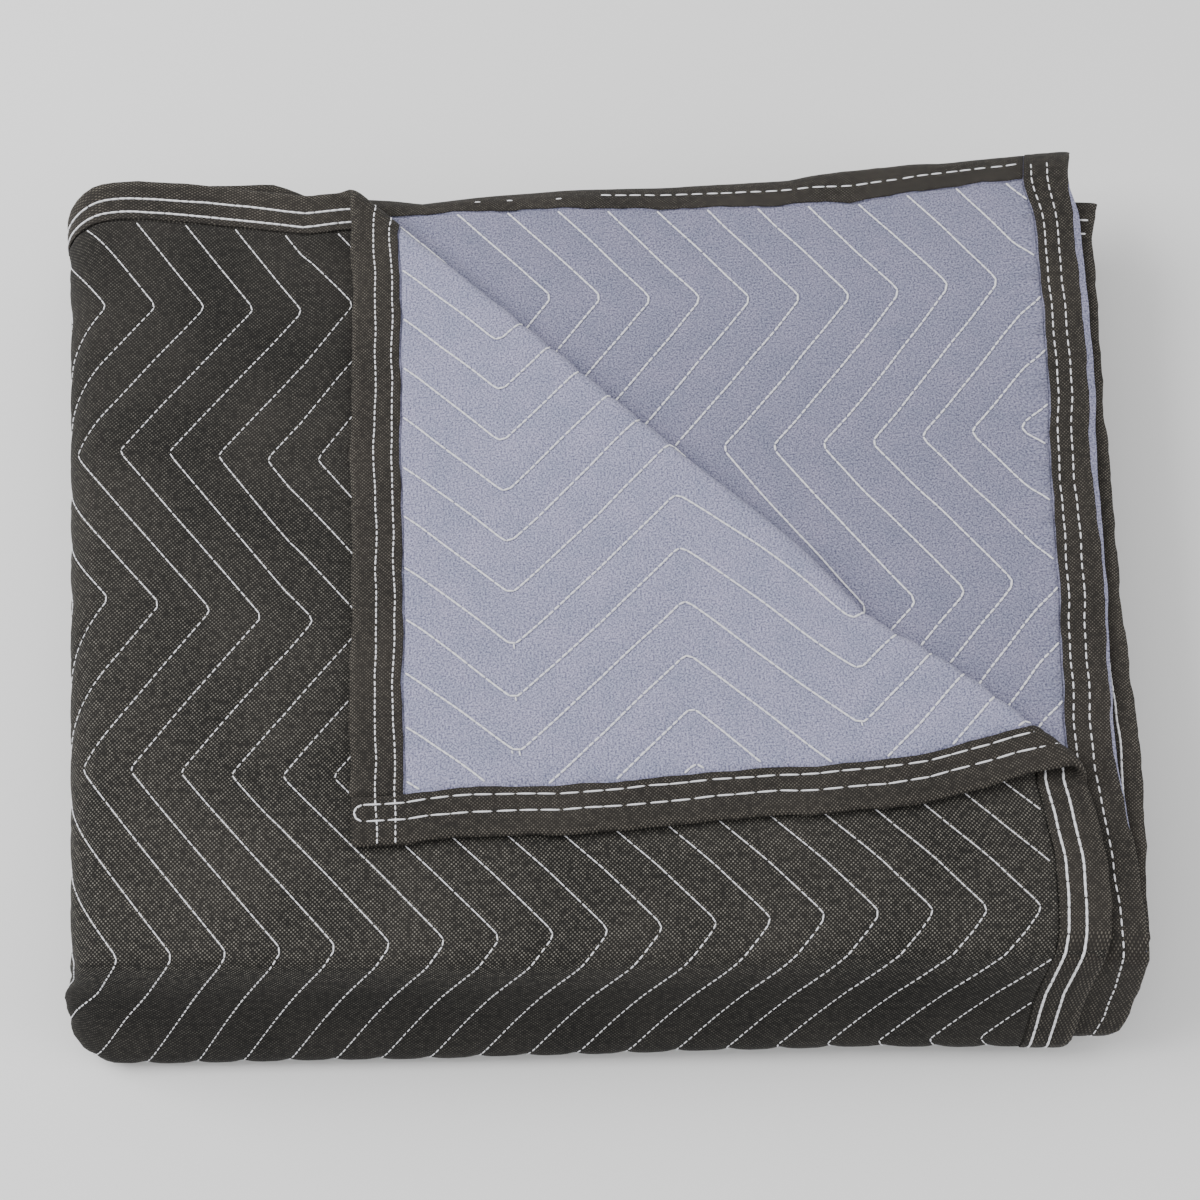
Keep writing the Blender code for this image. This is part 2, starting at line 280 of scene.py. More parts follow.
    def drawn_in(self, u: Array, v: Array) -> tuple[Array, Array]:
        """The flat place of points once each edge is drawn in, as the pad was folded from true.

        Args:
            u: Places across the flat pad.
            v: Places down it.

        Returns:
            The new places across and down.
        """
        side, end = self.side_trim.T, self.end_trim.T
        right = np.interp(v, side[0], side[1]) + EDGE_WANDER * wander(v, 1.0, 140)
        left = np.interp(v, side[0], side[2]) + EDGE_WANDER * wander(v, 4.0, 125)
        back = np.interp(u, end[0], end[1]) + EDGE_WANDER * wander(u, 2.0, 150)
        front = np.interp(u, end[0], end[2]) + EDGE_WANDER * wander(u, 5.0, 130)
        from_right, from_left = u / self.run_x, (self.wide - u) / self.run_x
        from_back, from_front = v / self.run_y, (self.long - v) / self.run_y
        across = u + right * np.clip(1 - from_right, 0, None) - left * np.clip(1 - from_left, 0, None)
        down = v + back * np.clip(1 - from_back, 0, None) - front * np.clip(1 - from_front, 0, None)
        return across, down

    @staticmethod
    def half_turn(
        along: Array, depth: Array, start: float, arc: float, centre: float
    ) -> tuple[Array, Array]:
        """Where points lie once the cloth past start has gone round a half turn.

        Args:
            along: Places along the cloth.
            depth: Their depths in the stack.
            start: Where the turn starts.
            arc: The length of cloth in it.
            centre: The depth that it turns about.

        Returns:
            The new places along, and the new depths.
        """
        past = along - start
        angle = np.clip(past / arc, 0, 1) * math.pi
        radius = centre - depth
        moved = start + radius * np.sin(angle) - np.clip(past - arc, 0, None)
        sunk = centre - radius * np.cos(angle)
        return np.where(past <= 0, along, moved), np.where(past <= 0, depth, sunk)

    def laid_back(self, x: Array, y: Array, z: Array) -> tuple[Array, Array, Array]:
        """Turns the free corner of the top layer over its crease.

        Args:
            x: Places to the right.
            y: Places to the back.
            z: Heights.

        Returns:
            The places once the corner is turned.
        """
        run = self.run
        past = self.past_crease(x, y)
        along = (x - self.crease_back[0]) * run[0] + (y - self.crease_back[1]) * run[1]
        centre = self.height + self.crease_gap
        moved, turned = self.half_turn(past, z, 0.0, self.crease_arc, centre)
        fall = eased(0, 1, (past - self.crease_arc) / self.crease_fall)
        # The crease bows out a little near its front end.
        bow = CREASE_BOW * np.exp(-(((along - 356) / 34) ** 2)) * np.exp(-((moved / 26) ** 2))
        step = moved - past - bow
        # The tip droops over the first layer's edge.
        droop = TIP_DROOP * eased(474, 498, along) * eased(0, self.crease_arc / 2, past)
        sunk = 2 * (self.crease_gap - self.rest_gap) * fall
        return x - run[1] * step, y + run[0] * step - droop, turned - sunk

    def slackened(self, x: Array, y: Array, z: Array, on_top: Array) -> tuple[Array, Array, Array]:
        """The settling that only the cloth shows: its back hems hang, and its folds bulge.

        Args:
            x: Places to the right of the footprint's middle.
            y: Places behind it.
            z: Heights above the floor.
            on_top: Which of them belong to the first layer.

        Returns:
            The settled places.
        """
        y, z = self.hung(x, y, z, on_top)
        # The front fold draws back to the right.
        y = y + np.interp(x, *FRONT_TAPER) * eased(60, -200, y)
        y, z = self.front_shaped(x, y, z)
        # The lower layers push out at the front left, and the back left corner is rounded.
        low_left = eased(-180, -250, x) * eased(-140, -188, y) * eased(60, 38, z)
        x = x - LOW_LEFT_PUSH * low_left
        y = y - BACK_LEFT_ROUND * np.clip((-232 - x) / 40, 0, 1) ** 2 * eased(130, 215, y)
        # No layer lies quite flat.
        lumps = wander(x + 0.4 * y, 0.6, 210) + wander(y - 0.3 * x, 2.2, 170)
        return x, y, z * (1 + LUMPINESS * lumps)

    def hung(self, x: Array, y: Array, z: Array, on_top: Array) -> tuple[Array, Array]:
        """Hangs the hem of the second layer over the back edge, and the lower layers' hems less.

        Args:
            x: Places to the right of the footprint's middle.
            y: Places behind it.
            z: Heights above the floor.
            on_top: Which of them belong to the first layer, whose hem is turned back.

        Returns:
            The new places behind the middle, and the new heights.
        """
        second_u = self.wide - self.right_x + self.middle[0] + x
        hem = self.back_y - self.middle[1] - np.interp(second_u, self.end_trim[:, 0], self.end_trim[:, 1])
        past = np.clip(y - (hem - HEM_HANG), 0, 40)
        bend = np.interp(x, *HEM_BEND)
        high = np.clip(z / self.height, 0, 1.1)
        hangs = np.where(on_top, 0.0, eased(-165, -130, x) * high)
        y = y - hangs * (past - bend * np.sin(past / bend))
        return y, z - hangs * bend * (1 - np.cos(past / bend))

    def front_shaped(self, x: Array, y: Array, z: Array) -> tuple[Array, Array]:
        """Shapes the front fold, which is squarer than a half round and stands out furthest at the floor.

        Args:
            x: Places to the right of the footprint's middle.
            y: Places behind it.
            z: Heights above the floor.

        Returns:
            The new places behind the middle, and the new heights.
        """
        front, middle = self.back_y - self.run_y - self.middle[1], self.height / 2 - self.lowest
        ahead, over = np.clip(front - y, 0, None), z - middle
        size, share = np.hypot(ahead, over), np.arctan2(ahead, over) / math.pi
        leans = eased(*FRONT_LEANS, x)
        upright, leaning = self.front_shapes
        out = (1 - leans) * np.interp(share, *upright[:2]) + leans * np.interp(share, *leaning[:2])
        up = (1 - leans) * np.interp(share, *upright[::2]) + leans * np.interp(share, *leaning[::2])
        return np.where(ahead > 0, front - size * out, y), np.where(ahead > 0, middle + size * up, z)

    def folded(self, u: Array, v: Array, w: Array) -> Array:
        """The world places of points of the drawn-in flat pad.

        Args:
            u: Places across the pad.
            v: Places down it.
            w: Depths from the woven face.

        Returns:
            One row of x, y and z for each point, in metres.
        """
        top_layer = (u < self.run_x) & (v < self.run_y)
        s, depth = self.half_turn(u, w, self.half_x, self.arc_half_x, self.slot)
        t, depth = self.half_turn(v, depth, self.half_y, self.arc_half_y, 2 * self.slot)
        s, depth = self.half_turn(s, depth, self.run_x, self.arc_left, 4 * self.slot)
        t, depth = self.half_turn(t, depth, self.run_y, self.arc_front, 8 * self.slot)
        x, y, z = self.right_x - s, self.back_y - t, self.height - depth
        turned = self.laid_back(x, y, z)
        x, y, z = (np.where(top_layer, new, old) for new, old in zip(turned, (x, y, z)))
        behind_front = np.clip(y - self.back_y + self.run_y, 0, None)
        out = (self.right_x - self.sag_run - x) / (self.run_x - self.sag_run)
        x = x - self.lean * behind_front * np.clip(out, 0, 1)
        z = (z - self.lowest) * (1 - self.thinning * behind_front / self.run_y)
        placed = self.slackened(x - self.middle[0], y - self.middle[1], z, top_layer)
        return np.stack(placed, axis=-1) * MM

    def cloth_place(self, u: Array, v: Array) -> tuple[Array, Array]:
        """Where flat places lie on the outer cloth, which its folds and its lean draw out.

        Args:
            u: Places across the flat pad.
            v: Places down it.

        Returns:
            The lengths of cloth across and down.
        """
        leaning = np.clip((u - self.sag_run) / (self.run_x - self.sag_run), 0, 1)
        lean = self.lean * np.clip(self.run_y - v, 0, None) * leaning
        across = u + lean + np.clip(u - self.run_x, 0, self.arc_left)
        return across, v + np.clip(v - self.run_y, 0, self.arc_front)

    def flat_place(self, across: Array, down: Array) -> tuple[Array, Array]:
        """The flat places of points of the outer cloth.

        Args:
            across: Lengths of cloth across.
            down: Lengths of cloth down.

        Returns:
            The places across the flat pad, and down it.
        """
        lean = self.lean * np.clip(self.run_y - down, 0, None)
        steep = lean / (self.run_x - self.sag_run)
        leaning = (across + steep * self.sag_run) / (1 + steep)
        beyond = np.where(leaning < self.run_x, leaning, across - lean)
        u = np.where(across < self.sag_run, across, beyond)
        u = u - np.clip((u - self.run_x) / 2, 0, self.arc_left)
        return u, down - np.clip((down - self.run_y) / 2, 0, self.arc_front)


PLAN = FoldPlan()
FIELD_TOP = 0.525  # depth of a panel's outer face in its slot
RIM_TOP = 1.325  # the same where the tape presses it
RIM_CUTS = (23.45, 23.9, 24.7)  # from the tape's edge across the groove beside it to the field
RIM_GROOVE = 1.0
RIM_REACH = 8.0  # how near to a cut a face's corner lies, where the face may meet it
RIM_BAND = 26.0  # a band along each edge, a little wider than the tape, whose faces are narrower
CREASE_REACH = 20.0  # how near to the crease's turn a face's middle lies, where the face may meet it
PLAIN_DEPTH = 0.25  # of the cloth below the quilting's crowns, where no seams are meshed
SEAM_PITCH = 25.4
SEAM_SLOPE = 0.77  # from the step between turns to the distance across slanting seams
SEAM_DEPTH = 1.0
SEAM_GROOVE = 2.6  # half the groove's width
HOLLOW_DEPTH = 0.22  # of the wider hollow that the groove lies in
HOLLOW_REACH = 9.8
TAPE_WIDE = 23.4
THREAD_CLEAR = 0.8  # between the tape and a seam's last stitch
THREAD_FLATNESS = 0.8  # its height as a share of its width, once it is pulled down
STITCH_FULLNESS = 1.13
FLOOR_CLEAR = 0.0002  # metres, which keeps the panels off the floor


class Side(Enum):
    """The two faces of the cloth: the direction that each looks in through the flat pad."""

    WOVEN = -1
    FELT = 1

    def depth(self, below: Array | float) -> Array:
        """The depth in the slot of what lies so far below this side's top."""
        return np.asarray(below, float) if self is Side.WOVEN else PLAN.slot - np.asarray(below, float)


@dataclass(frozen=True)
class SeamRows:
    """Parallel zigzag seams, given by the rows that their turns lie in.

    Each row is the place across and down of seam 0, the step across and down to the next seam, and, where
    it differs, the same step for the seams below the knee. The first row has the number first. Seams on
    the shell are measured along the outer cloth, which its folds stretch. Rounding is how much of a row
    each turn takes up, for the even rows and the odd ones.
    """

    rows: tuple[tuple[float, ...], ...]
    first: int = -1
    knee: int = 0
    from_left: bool = False
    on_shell: bool = False
    rounding: tuple[float, float] = (0.055, 0.055)

    @property
    def last(self) -> int:
        """The number of the last row."""
        return self.first + len(self.rows) - 1

    def straight(self, seam: Array, at: Array) -> Array:
        """Where points of seams with sharp turns lie.

        Args:
            seam: Seam numbers, with parts of one between the seams.
            at: How many rows below the first.

        Returns:
            The places across and down, as the last axis.
        """
        table = np.array([(*row, *row[2:])[:6] for row in self.rows]).reshape(len(self.rows), -1, 2)
        at = np.clip(at, 0, len(table) - 1.0001)
        low = at.astype(int)
        share = (at - low)[..., None, None]
        start, step, far_step = np.moveaxis(table[low] * (1 - share) + table[low + 1] * share, -2, 0)
        near, far = np.maximum(seam, self.knee)[..., None], np.minimum(seam - self.knee, 0)[..., None]
        return start + step * near + far_step * far

    def place(self, seam: Array, row: Array) -> tuple[Array, Array]:
        """Where a point of a seam lies.

        Args:
            seam: Seam numbers, with parts of one between the seams.
            row: Row numbers, with parts of one between the rows of turns.

        Returns:
            The places across and down on the flat pad.
        """
        at = np.clip(np.asarray(row, float) - self.first, 0, len(self.rows) - 1)
        turn = np.rint(at)
        reach = np.where((turn + self.first) % 2 == 0, *self.rounding)
        share = (np.clip((at - turn) / reach, -1, 1)[..., None] + 1) / 2
        before, corner, after = (self.straight(seam, turn + off) for off in (-reach, 0 * reach, reach))
        bent = before * (1 - share) ** 2 + corner * 2 * share * (1 - share) + after * share**2
        spot = np.where(np.abs(at - turn)[..., None] < reach[..., None], bent, self.straight(seam, at))
        across, down = spot[..., 0], spot[..., 1]
        if self.on_shell:
            return PLAN.flat_place(across, down)
        return (PLAN.wide - across if self.from_left else across), down


# Measured on the layers seen from above, and carried on at the same pitch under the stack. A row that is
# left short has one step for all its seams.
SHELL_SEAMS = SeamRows(
    (
        (495.0, -12.0, 25.8, 1.2),
        (425.0, 73.0, 25.9, 1.5),
        (489.3, 161.3, 25.1, 0.2),
        (411.6, 248.8, 25.4, -2.2),
        (470.1, 330.7, 25.0, -0.9, 25.7, 0.9),
        (391.2, 419.9, 25.7, 0.9),
        (444.5, 518.0, 23.5, 0.9, 25.4, 1.6),
        *((388.0 + 70.0 * (number % 2), 601.0 + 85.0 * number, 25.4, 0.9) for number in range(6)),
    ),
    knee=-4,
    on_shell=True,
    rounding=(0.028, 0.022),
)
CORNER_SEAMS = SeamRows(
    (
        (87.0, -6.0, 29.0, 0.0),
        (12.0, 76.4, 28.7, -0.3),
        (89.0, 158.2, 29.5, 0.0),
        (12.5, 232.5, 30.7, 3.5),
        (87.0, 316.0, 29.5, 2.0),
        (6.0, 400.0, 29.0, 2.0),
        (78.0, 484.0, 29.0, 2.0),
    ),
    rounding=(0.035, 0.035),
)
SECOND_SEAMS = SeamRows(
    (
        (106.0, -1.0, 27.0, 0.0),
        (41.4, 80.9, 25.8, -0.5),
        (110.3, 162.8, 25.2, 0.1),
        (43.3, 244.1, 24.4, 3.3),
        (112.0, 330.0, 25.0, 2.0),
        (42.0, 414.0, 25.0, 2.0),
        (112.0, 498.0, 25.0, 2.0),
    ),
    from_left=True,
    rounding=(0.035, 0.035),
)


# The numbers of the first seam on each part, and of the one after the last. The turned corner hides
# the second layer's last seams, which have a groove and no thread.
SHELL_SPAN = (-26, 9)
CORNER_SPAN = (-3, 19)
SECOND_SPAN = (-5, 19)
SECOND_SEWN = (-5, 10)
UNDER_CREASE = 25.0  # how far the second layer's thread goes on under the turned corner


def inward_of(u: Array, v: Array) -> Array:
    """How far in from the nearest edge flat places lie."""
    return np.minimum.reduce([u, PLAN.wide - u, v, PLAN.long - v])


def pressed(u: Array, v: Array) -> Array:
    """How far flat places lie under the tape.

    Args:
        u: Places across.
        v: Places down.

    Returns:
        1 under the tape, 0 on the field.
    """
    return 1 - eased(*RIM_CUTS[1:], inward_of(u, v))


def once(parts: Iterable[Any]) -> list[Any]:
    """Each of a mesh's parts once, in the order that they come in."""
    return list(dict.fromkeys(parts))


@dataclass
class FlatCloth:
    """A mesh in the flat pad, which is laid out, cut, and then folded."""

    name: str
    side: Side
    bm: bmesh.types.BMesh = field(default_factory=bmesh.new)

    def add_grid(
        self,
        columns: Array,
        rows: Array,
        place: Callable[[Array, Array], tuple[Array, Array, Array]],
    ) -> list[bmesh.types.BMVert]:
        """Adds a grid and lays it out flat.

        Args:
            columns: The first parameter's values, one for each column of points.
            rows: The second parameter's values, one for each row of points.
            place: Turns the two parameters into places across and down and depths below the cloth's top.

        Returns:
            The grid's points.
        """
        made = bmesh.ops.create_grid(
            self.bm, x_segments=len(columns) - 1, y_segments=len(rows) - 1, size=0.5
        )["verts"]
        at = np.array([corner.co for corner in made]) + 0.5
        column = columns[np.rint(at[:, 0] * (len(columns) - 1)).astype(int)]
        row = rows[np.rint(at[:, 1] * (len(rows) - 1)).astype(int)]
        for corner, spot in zip(made, np.stack(place(column, row), axis=-1)):
            corner.co = spot
        return made

    def keep_within(self, verts: list[bmesh.types.BMVert], low: tuple, high: tuple) -> None:
        """Cuts a grid down to a rectangle of the flat pad.

        Args:
            verts: The grid's points.
            low: The rectangle's least place across and down.
            high: Its greatest.
        """
        faces = once(face for corner in verts for face in corner.link_faces)
        geometry = [*faces, *once(edge for face in faces for edge in face.edges), *verts]
        sides = ((low, (-1, 0, 0)), (low, (0, -1, 0)), (high, (1, 0, 0)), (high, (0, 1, 0)))
        for corner, outward in sides:
            geometry = bmesh.ops.bisect_plane(
                self.bm,
                geom=[part for part in geometry if part.is_valid],
                dist=1e-4,
                plane_co=(*corner, 0),
                plane_no=outward,
                clear_outer=True,
            )["geom"]

    def cut_on(self, u: float, v: float, normal: tuple[float, float], only: Callable) -> None:
        """Cuts some of the faces along an upright plane.

        Args:
            u: A place across on the plane.
            v: A place down on the plane.
            normal: The plane's direction.
            only: Says whether a face is cut.
        """
        faces = [face for face in self.bm.faces if only(face)]
        edges = once(edge for face in faces for edge in face.edges)
        corners = once(corner for face in faces for corner in face.verts)
        bmesh.ops.bisect_plane(
            self.bm,
            geom=[*faces, *edges, *corners],
            dist=1e-4,
            plane_co=(u, v, 0),
            plane_no=(*normal, 0),
        )

    def draw_in(self) -> None:
        """Stores each point's place on the cloth as its UV, and draws the edges in."""
        at = np.array([corner.co for corner in self.bm.verts])
        cloth = np.stack(PLAN.cloth_place(at[:, 0], at[:, 1]), axis=-1) * MM
        layer = self.bm.loops.layers.uv.verify()
        self.bm.verts.index_update()
        for face in self.bm.faces:
            for loop in face.loops:
                loop[layer].uv = cloth[loop.vert.index]
        press = pressed(at[:, 0], at[:, 1])
        below = FIELD_TOP + (RIM_TOP - FIELD_TOP) * press + at[:, 2] * (1 - press)
        below += RIM_GROOVE * eased(0.4, 0, np.abs(inward_of(at[:, 0], at[:, 1]) - RIM_CUTS[1]))
        drawn = felt_drawn(at[:, 0], at[:, 1]) if self.side is Side.FELT else at[:, 0]
        across, down = PLAN.drawn_in(drawn, at[:, 1])
        depth = self.side.depth(below)
        for corner, spot in zip(self.bm.verts, np.stack([across, down, depth], axis=-1)):
            corner.co = spot

    def cut_rim(self) -> None:
        """Cuts the flat panel along the tapes' inner edges, so that it rises sharply beside them."""
        for hem in Hem:
            for inward in RIM_CUTS:
                spot = hem.flat(inward, 0.0)
                axis = 0 if hem.runs_down else 1
                self.cut_on(
                    *spot,
                    (1 - axis, axis),
                    lambda face: any(
                        abs(corner.co[axis] - spot[axis]) < RIM_REACH for corner in face.verts
                    ),
                )

    def cut_crease(self, steps: int = 8) -> None:
        """Cuts the first layer along its crease, so that it turns over smoothly.

        Args:
            steps: How many faces the turn takes.
        """
        run = PLAN.run
        for step in range(steps + 1):
            past = PLAN.crease_arc * step / steps
            x = PLAN.crease_back[0] - run[1] * past
            y = PLAN.crease_back[1] + run[0] * past
            self.cut_on(
                PLAN.right_x - x,
                PLAN.back_y - y,
                (run[1], -run[0]),
                lambda face: on_first_layer(face) and near_crease(face),
            )

    def fold(self, finish: bpy.types.Material) -> bpy.types.Object:
        """Folds the cloth and makes it a piece.

        Args:
            finish: The cloth's material.

        Returns:
            The piece.
        """
        self.bm.normal_update()
        # Each flat axis runs against its world axis, so a face that looks in when flat looks out here.
        inside_out = [face for face in self.bm.faces if face.normal.z * self.side.value > 0]
        bmesh.ops.reverse_faces(self.bm, faces=inside_out)
        at = np.array([corner.co for corner in self.bm.verts])
        world = PLAN.folded(at[:, 0], at[:, 1], at[:, 2])
        world[:, 2] = np.maximum(world[:, 2], FLOOR_CLEAR)
        for corner, spot in zip(self.bm.verts, world):
            corner.co = spot
        return finished(self.name, self.bm, finish)


def on_first_layer(face: bmesh.types.BMFace) -> bool:
    """Whether a drawn-in flat face belongs to the stack's top layer."""
    centre = face.calc_center_median()
    return centre.x < PLAN.run_x and centre.y < PLAN.run_y


def near_crease(face: bmesh.types.BMFace) -> bool:
    """Whether a drawn-in flat face may meet the crease's turn."""
    centre = face.calc_center_median()
    past = PLAN.past_crease_flat(centre.x, centre.y)
    return -CREASE_REACH < past < PLAN.crease_arc + CREASE_REACH


def finished(name: str, bm: bmesh.types.BMesh, finish: bpy.types.Material) -> bpy.types.Object:
    """Turns a mesh into a smooth piece that rides on the part.

    Args:
        name: The piece's name.
        bm: Its mesh, which is freed.
        finish: Its material.

    Returns:
        The piece.
    """
    mesh = bpy.data.meshes.new(name)
    bm.to_mesh(mesh)
    bm.free()
    mesh.materials.append(finish)
    mesh.shade_smooth()
    piece = placed(name, mesh)
    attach(piece, "root")
    LOG.info("%s: %d faces", name, len(mesh.polygons))
    return piece


def seam_dip(seam: Array) -> Array:
    """How far the cloth is drawn in by the nearest seam.

    Args:
        seam: Seam numbers, with parts of one between the seams.

    Returns:
        The depths below the cloth's crown.
    """
    off = np.abs(seam - np.rint(seam)) * SEAM_PITCH * SEAM_SLOPE
    groove = SEAM_DEPTH * np.exp(-((off / SEAM_GROOVE) ** 1.4))
    return groove + HOLLOW_DEPTH * (1 - eased(0, HOLLOW_REACH, off))


# The columns of points for each seam, in parts of the way to the next one, closest in the seam's groove.
SEAM_COLUMNS = np.array([-0.42, -0.27, -0.15, -0.06, 0.0, 0.06, 0.15, 0.27])


@dataclass
class QuiltedPanels:
    """The pad's two panels, finely meshed where they show."""

    woven: bpy.types.Material
    felt: bpy.types.Material
    rows_a_turn: int = 24

    def seam_grid(self, cloth: FlatCloth, seams: SeamRows, span: tuple[int, int]) -> list:
        """Adds a grid whose columns follow the zigzag seams.

        Args:
            cloth: The cloth to add it to.
            seams: The seams that it follows.
            span: The first and last seam.

        Returns:
            The grid's points.
        """
        columns = np.concatenate([number + SEAM_COLUMNS for number in range(*span)])
        rows = np.linspace(seams.first, seams.last, (seams.last - seams.first) * self.rows_a_turn + 1)

        def place(seam: Array, row: Array) -> tuple[Array, Array, Array]:
            """Places the grid's points on the flat pad."""
            return *seams.place(seam, row), seam_dip(seam)

        return cloth.add_grid(columns, rows, place)

    def woven_panel(self) -> bpy.types.Object:
        """Builds the woven face.

        Returns:
            The piece.
        """
        cloth = FlatCloth("woven_face", Side.WOVEN)
        shell_u, shell_v = PLAN.run_x + PLAN.arc_left, PLAN.half_y
        grid = self.seam_grid(cloth, SHELL_SEAMS, SHELL_SPAN)
        cloth.keep_within(grid, (0, 0), (shell_u, shell_v))
        wide, long = PLAN.wide, PLAN.long
        across = stations([0, PLAN.rim, RIM_BAND, shell_u], [2, 2, 40])
        # Down the cloth: the fold at the pad's middle, the front fold's inner layers, and the end's rim.
        middle, front_end = PLAN.half_y + PLAN.arc_half_y, long - PLAN.run_y
        folds = [shell_v, middle, front_end - PLAN.arc_front, front_end, long - RIM_BAND, long]
        cloth.add_grid(across, stations(folds, [16, 8, 12, 10, 4]), plain_place)
        near_fold = (PLAN.half_x - 20, PLAN.half_x + PLAN.arc_half_x + 20)
        inner = [shell_u, *near_fold, wide - shell_u, wide - PLAN.run_x, wide - RIM_BAND, wide]
        length = [0, RIM_BAND, PLAN.run_y, PLAN.run_y + PLAN.arc_front, *folds]
        cloth.add_grid(
            stations(inner, [30, 24, 8, 10, 10, 4]),
            stations(length, [4, 40, 16, 30, 16, 30, 16, 40, 4]),
            plain_place,
        )
        cloth.cut_rim()
        cloth.draw_in()
        cloth.cut_crease()
        return cloth.fold(self.woven)

    def felt_panel(self) -> bpy.types.Object:
        """Builds the felt back.

        Returns:
            The piece.
        """
        cloth = FlatCloth("felt_back", Side.FELT)
        corner = self.seam_grid(cloth, CORNER_SEAMS, CORNER_SPAN)
        cloth.keep_within(corner, (0, 0), (PLAN.run_x, PLAN.run_y))
        second = self.seam_grid(cloth, SECOND_SEAMS, SECOND_SPAN)
        cloth.keep_within(second, (PLAN.wide - PLAN.run_x, 0), (PLAN.wide, PLAN.run_y))
        wide, long = PLAN.wide, PLAN.long
        # Every other stretch of these is a fold.
        arcs = [PLAN.run_x, PLAN.run_x + PLAN.arc_left, PLAN.half_x, PLAN.half_x + PLAN.arc_half_x]
        arcs += [wide - PLAN.run_x - PLAN.arc_left, wide - PLAN.run_x]
        ends = [PLAN.run_y, PLAN.run_y + PLAN.arc_front, PLAN.half_y, PLAN.half_y + PLAN.arc_half_y]
        ends += [long - PLAN.run_y - PLAN.arc_front, long - PLAN.run_y, long - RIM_BAND, long]
        between = stations(arcs, [10, 12, 8, 12, 10])
        cloth.add_grid(between, stations([0, RIM_BAND, PLAN.run_y], [3, 12]), plain_place)
        full = stations([0, RIM_BAND, *arcs, wide - RIM_BAND, wide], [3, 12, 10, 12, 8, 12, 10, 12, 3])
        cloth.add_grid(full, stations(ends, [14, 10, 10, 10, 14, 12, 3]), plain_place)
        cloth.cut_rim()
        cloth.draw_in()
        cloth.cut_crease()
        return cloth.fold(self.felt)


def stations(ends: list[float], steps: list[int]) -> Array:
    """Places along a line, evenly spaced in each of its stretches.

    Args:
        ends: The stretches' ends.
        steps: How many steps each takes.

    Returns:
        The places.
    """
    runs = [np.linspace(low, high, count + 1)[:-1] for low, high, count in zip(ends, ends[1:], steps)]
    return np.concatenate([*runs, [ends[-1]]])


def plain_place(across: Array, down: Array) -> tuple[Array, Array, Array]:
    """Places a grid that follows no seams, a little below the quilting's crowns."""
    return across, down, np.full_like(across, PLAIN_DEPTH)


class Hem(Enum):
    """The pad's four edges, each with its own tape."""

    RIGHT = "binding_right"
    LEFT = "binding_left"
    BACK = "binding_back"
    FRONT = "binding_front"

    def flat(self, inward: Array, along: Array) -> tuple[Array, Array]:
        """Where a place on this edge's tape lies on the flat pad.

        Args:
            inward: How far in from the edge.
            along: How far along it.

        Returns:
            The places across and down.
        """
        if self is Hem.RIGHT:
            return inward, along
        if self is Hem.LEFT:
            return PLAN.wide - inward, along
        if self is Hem.BACK:
            return along, inward
        return along, PLAN.long - inward

    @property
    def runs_down(self) -> bool:
        """Whether the edge runs down the pad."""
        return self in (Hem.RIGHT, Hem.LEFT)

    @property
    def length(self) -> float:
        """The edge's length."""
        return PLAN.long if self.runs_down else PLAN.wide

    @staticmethod
    def slip(along: Array) -> Array:
        """How far the left tape has slipped round its edge, from places along it."""
        return 2.0 * (eased(400, 320, along) + eased(240, 170, along)) * eased(20, 50, along)

    def slipped(self, inward: Array | float, along: Array, felt: Array | bool) -> Array:
        """Where the tape lies once it has slipped round its edge, as the left one has on its felt side.

        Args:
            inward: How far in from the edge, were the tape even.
            along: How far along it.
            felt: Whether it is on the felt side.

        Returns:
            How far in from the edge it lies.
        """
        if self is not Hem.LEFT:
            return inward + 0 * along
        return inward - np.where(felt, self.slip(along) * eased(4, 16, inward), 0)


def felt_drawn(u: Array, v: Array) -> Array:
    """Where the felt lies across the pad, drawn after the left tape that has slipped round its edge."""
    return u + Hem.slip(v) * eased(33, 24.7, PLAN.wide - u)


# Half of the tape's section, from its sewn edge round to the middle of its fold: inward, and depth. Its
# two rows of stitches lie in the dents.
TAPE_OUTSIDE = (
    (23.3, 1.0),
    (23.4, 0.5),
    (22.8, 0.25),
    (20.9, 0.2),
    (19.3, 0.48),
    (18.0, 0.22),
    (15.0, 0.1),
    (12.0, 0.22),
    (10.7, 0.48),
    (9.4, 0.22),
    (6.0, 0.12),
    (3.0, 0.25),
    (0.8, 0.62),
    (-0.6, 1.25),
    (-1.25, 1.95),
    (-1.4, 2.575),
)
TAPE_INSIDE = ((-0.4, 2.575), (0.2, 1.3), (6.0, 1.02), (23.2, 1.05))
ROW_OUT = 10.7
ROW_IN = 19.3
SEWN_STRAY = 0.45  # how far the sewn edge strays, and how far the back hem's does at its hanging end
LOOSE_STRAY = 0.95
HEM_STRAY = 0.55  # how far the folded edge strays
PUCKER = 0.09
UV_MARGIN = 30.0  # keeps the tape's pattern clear of 0


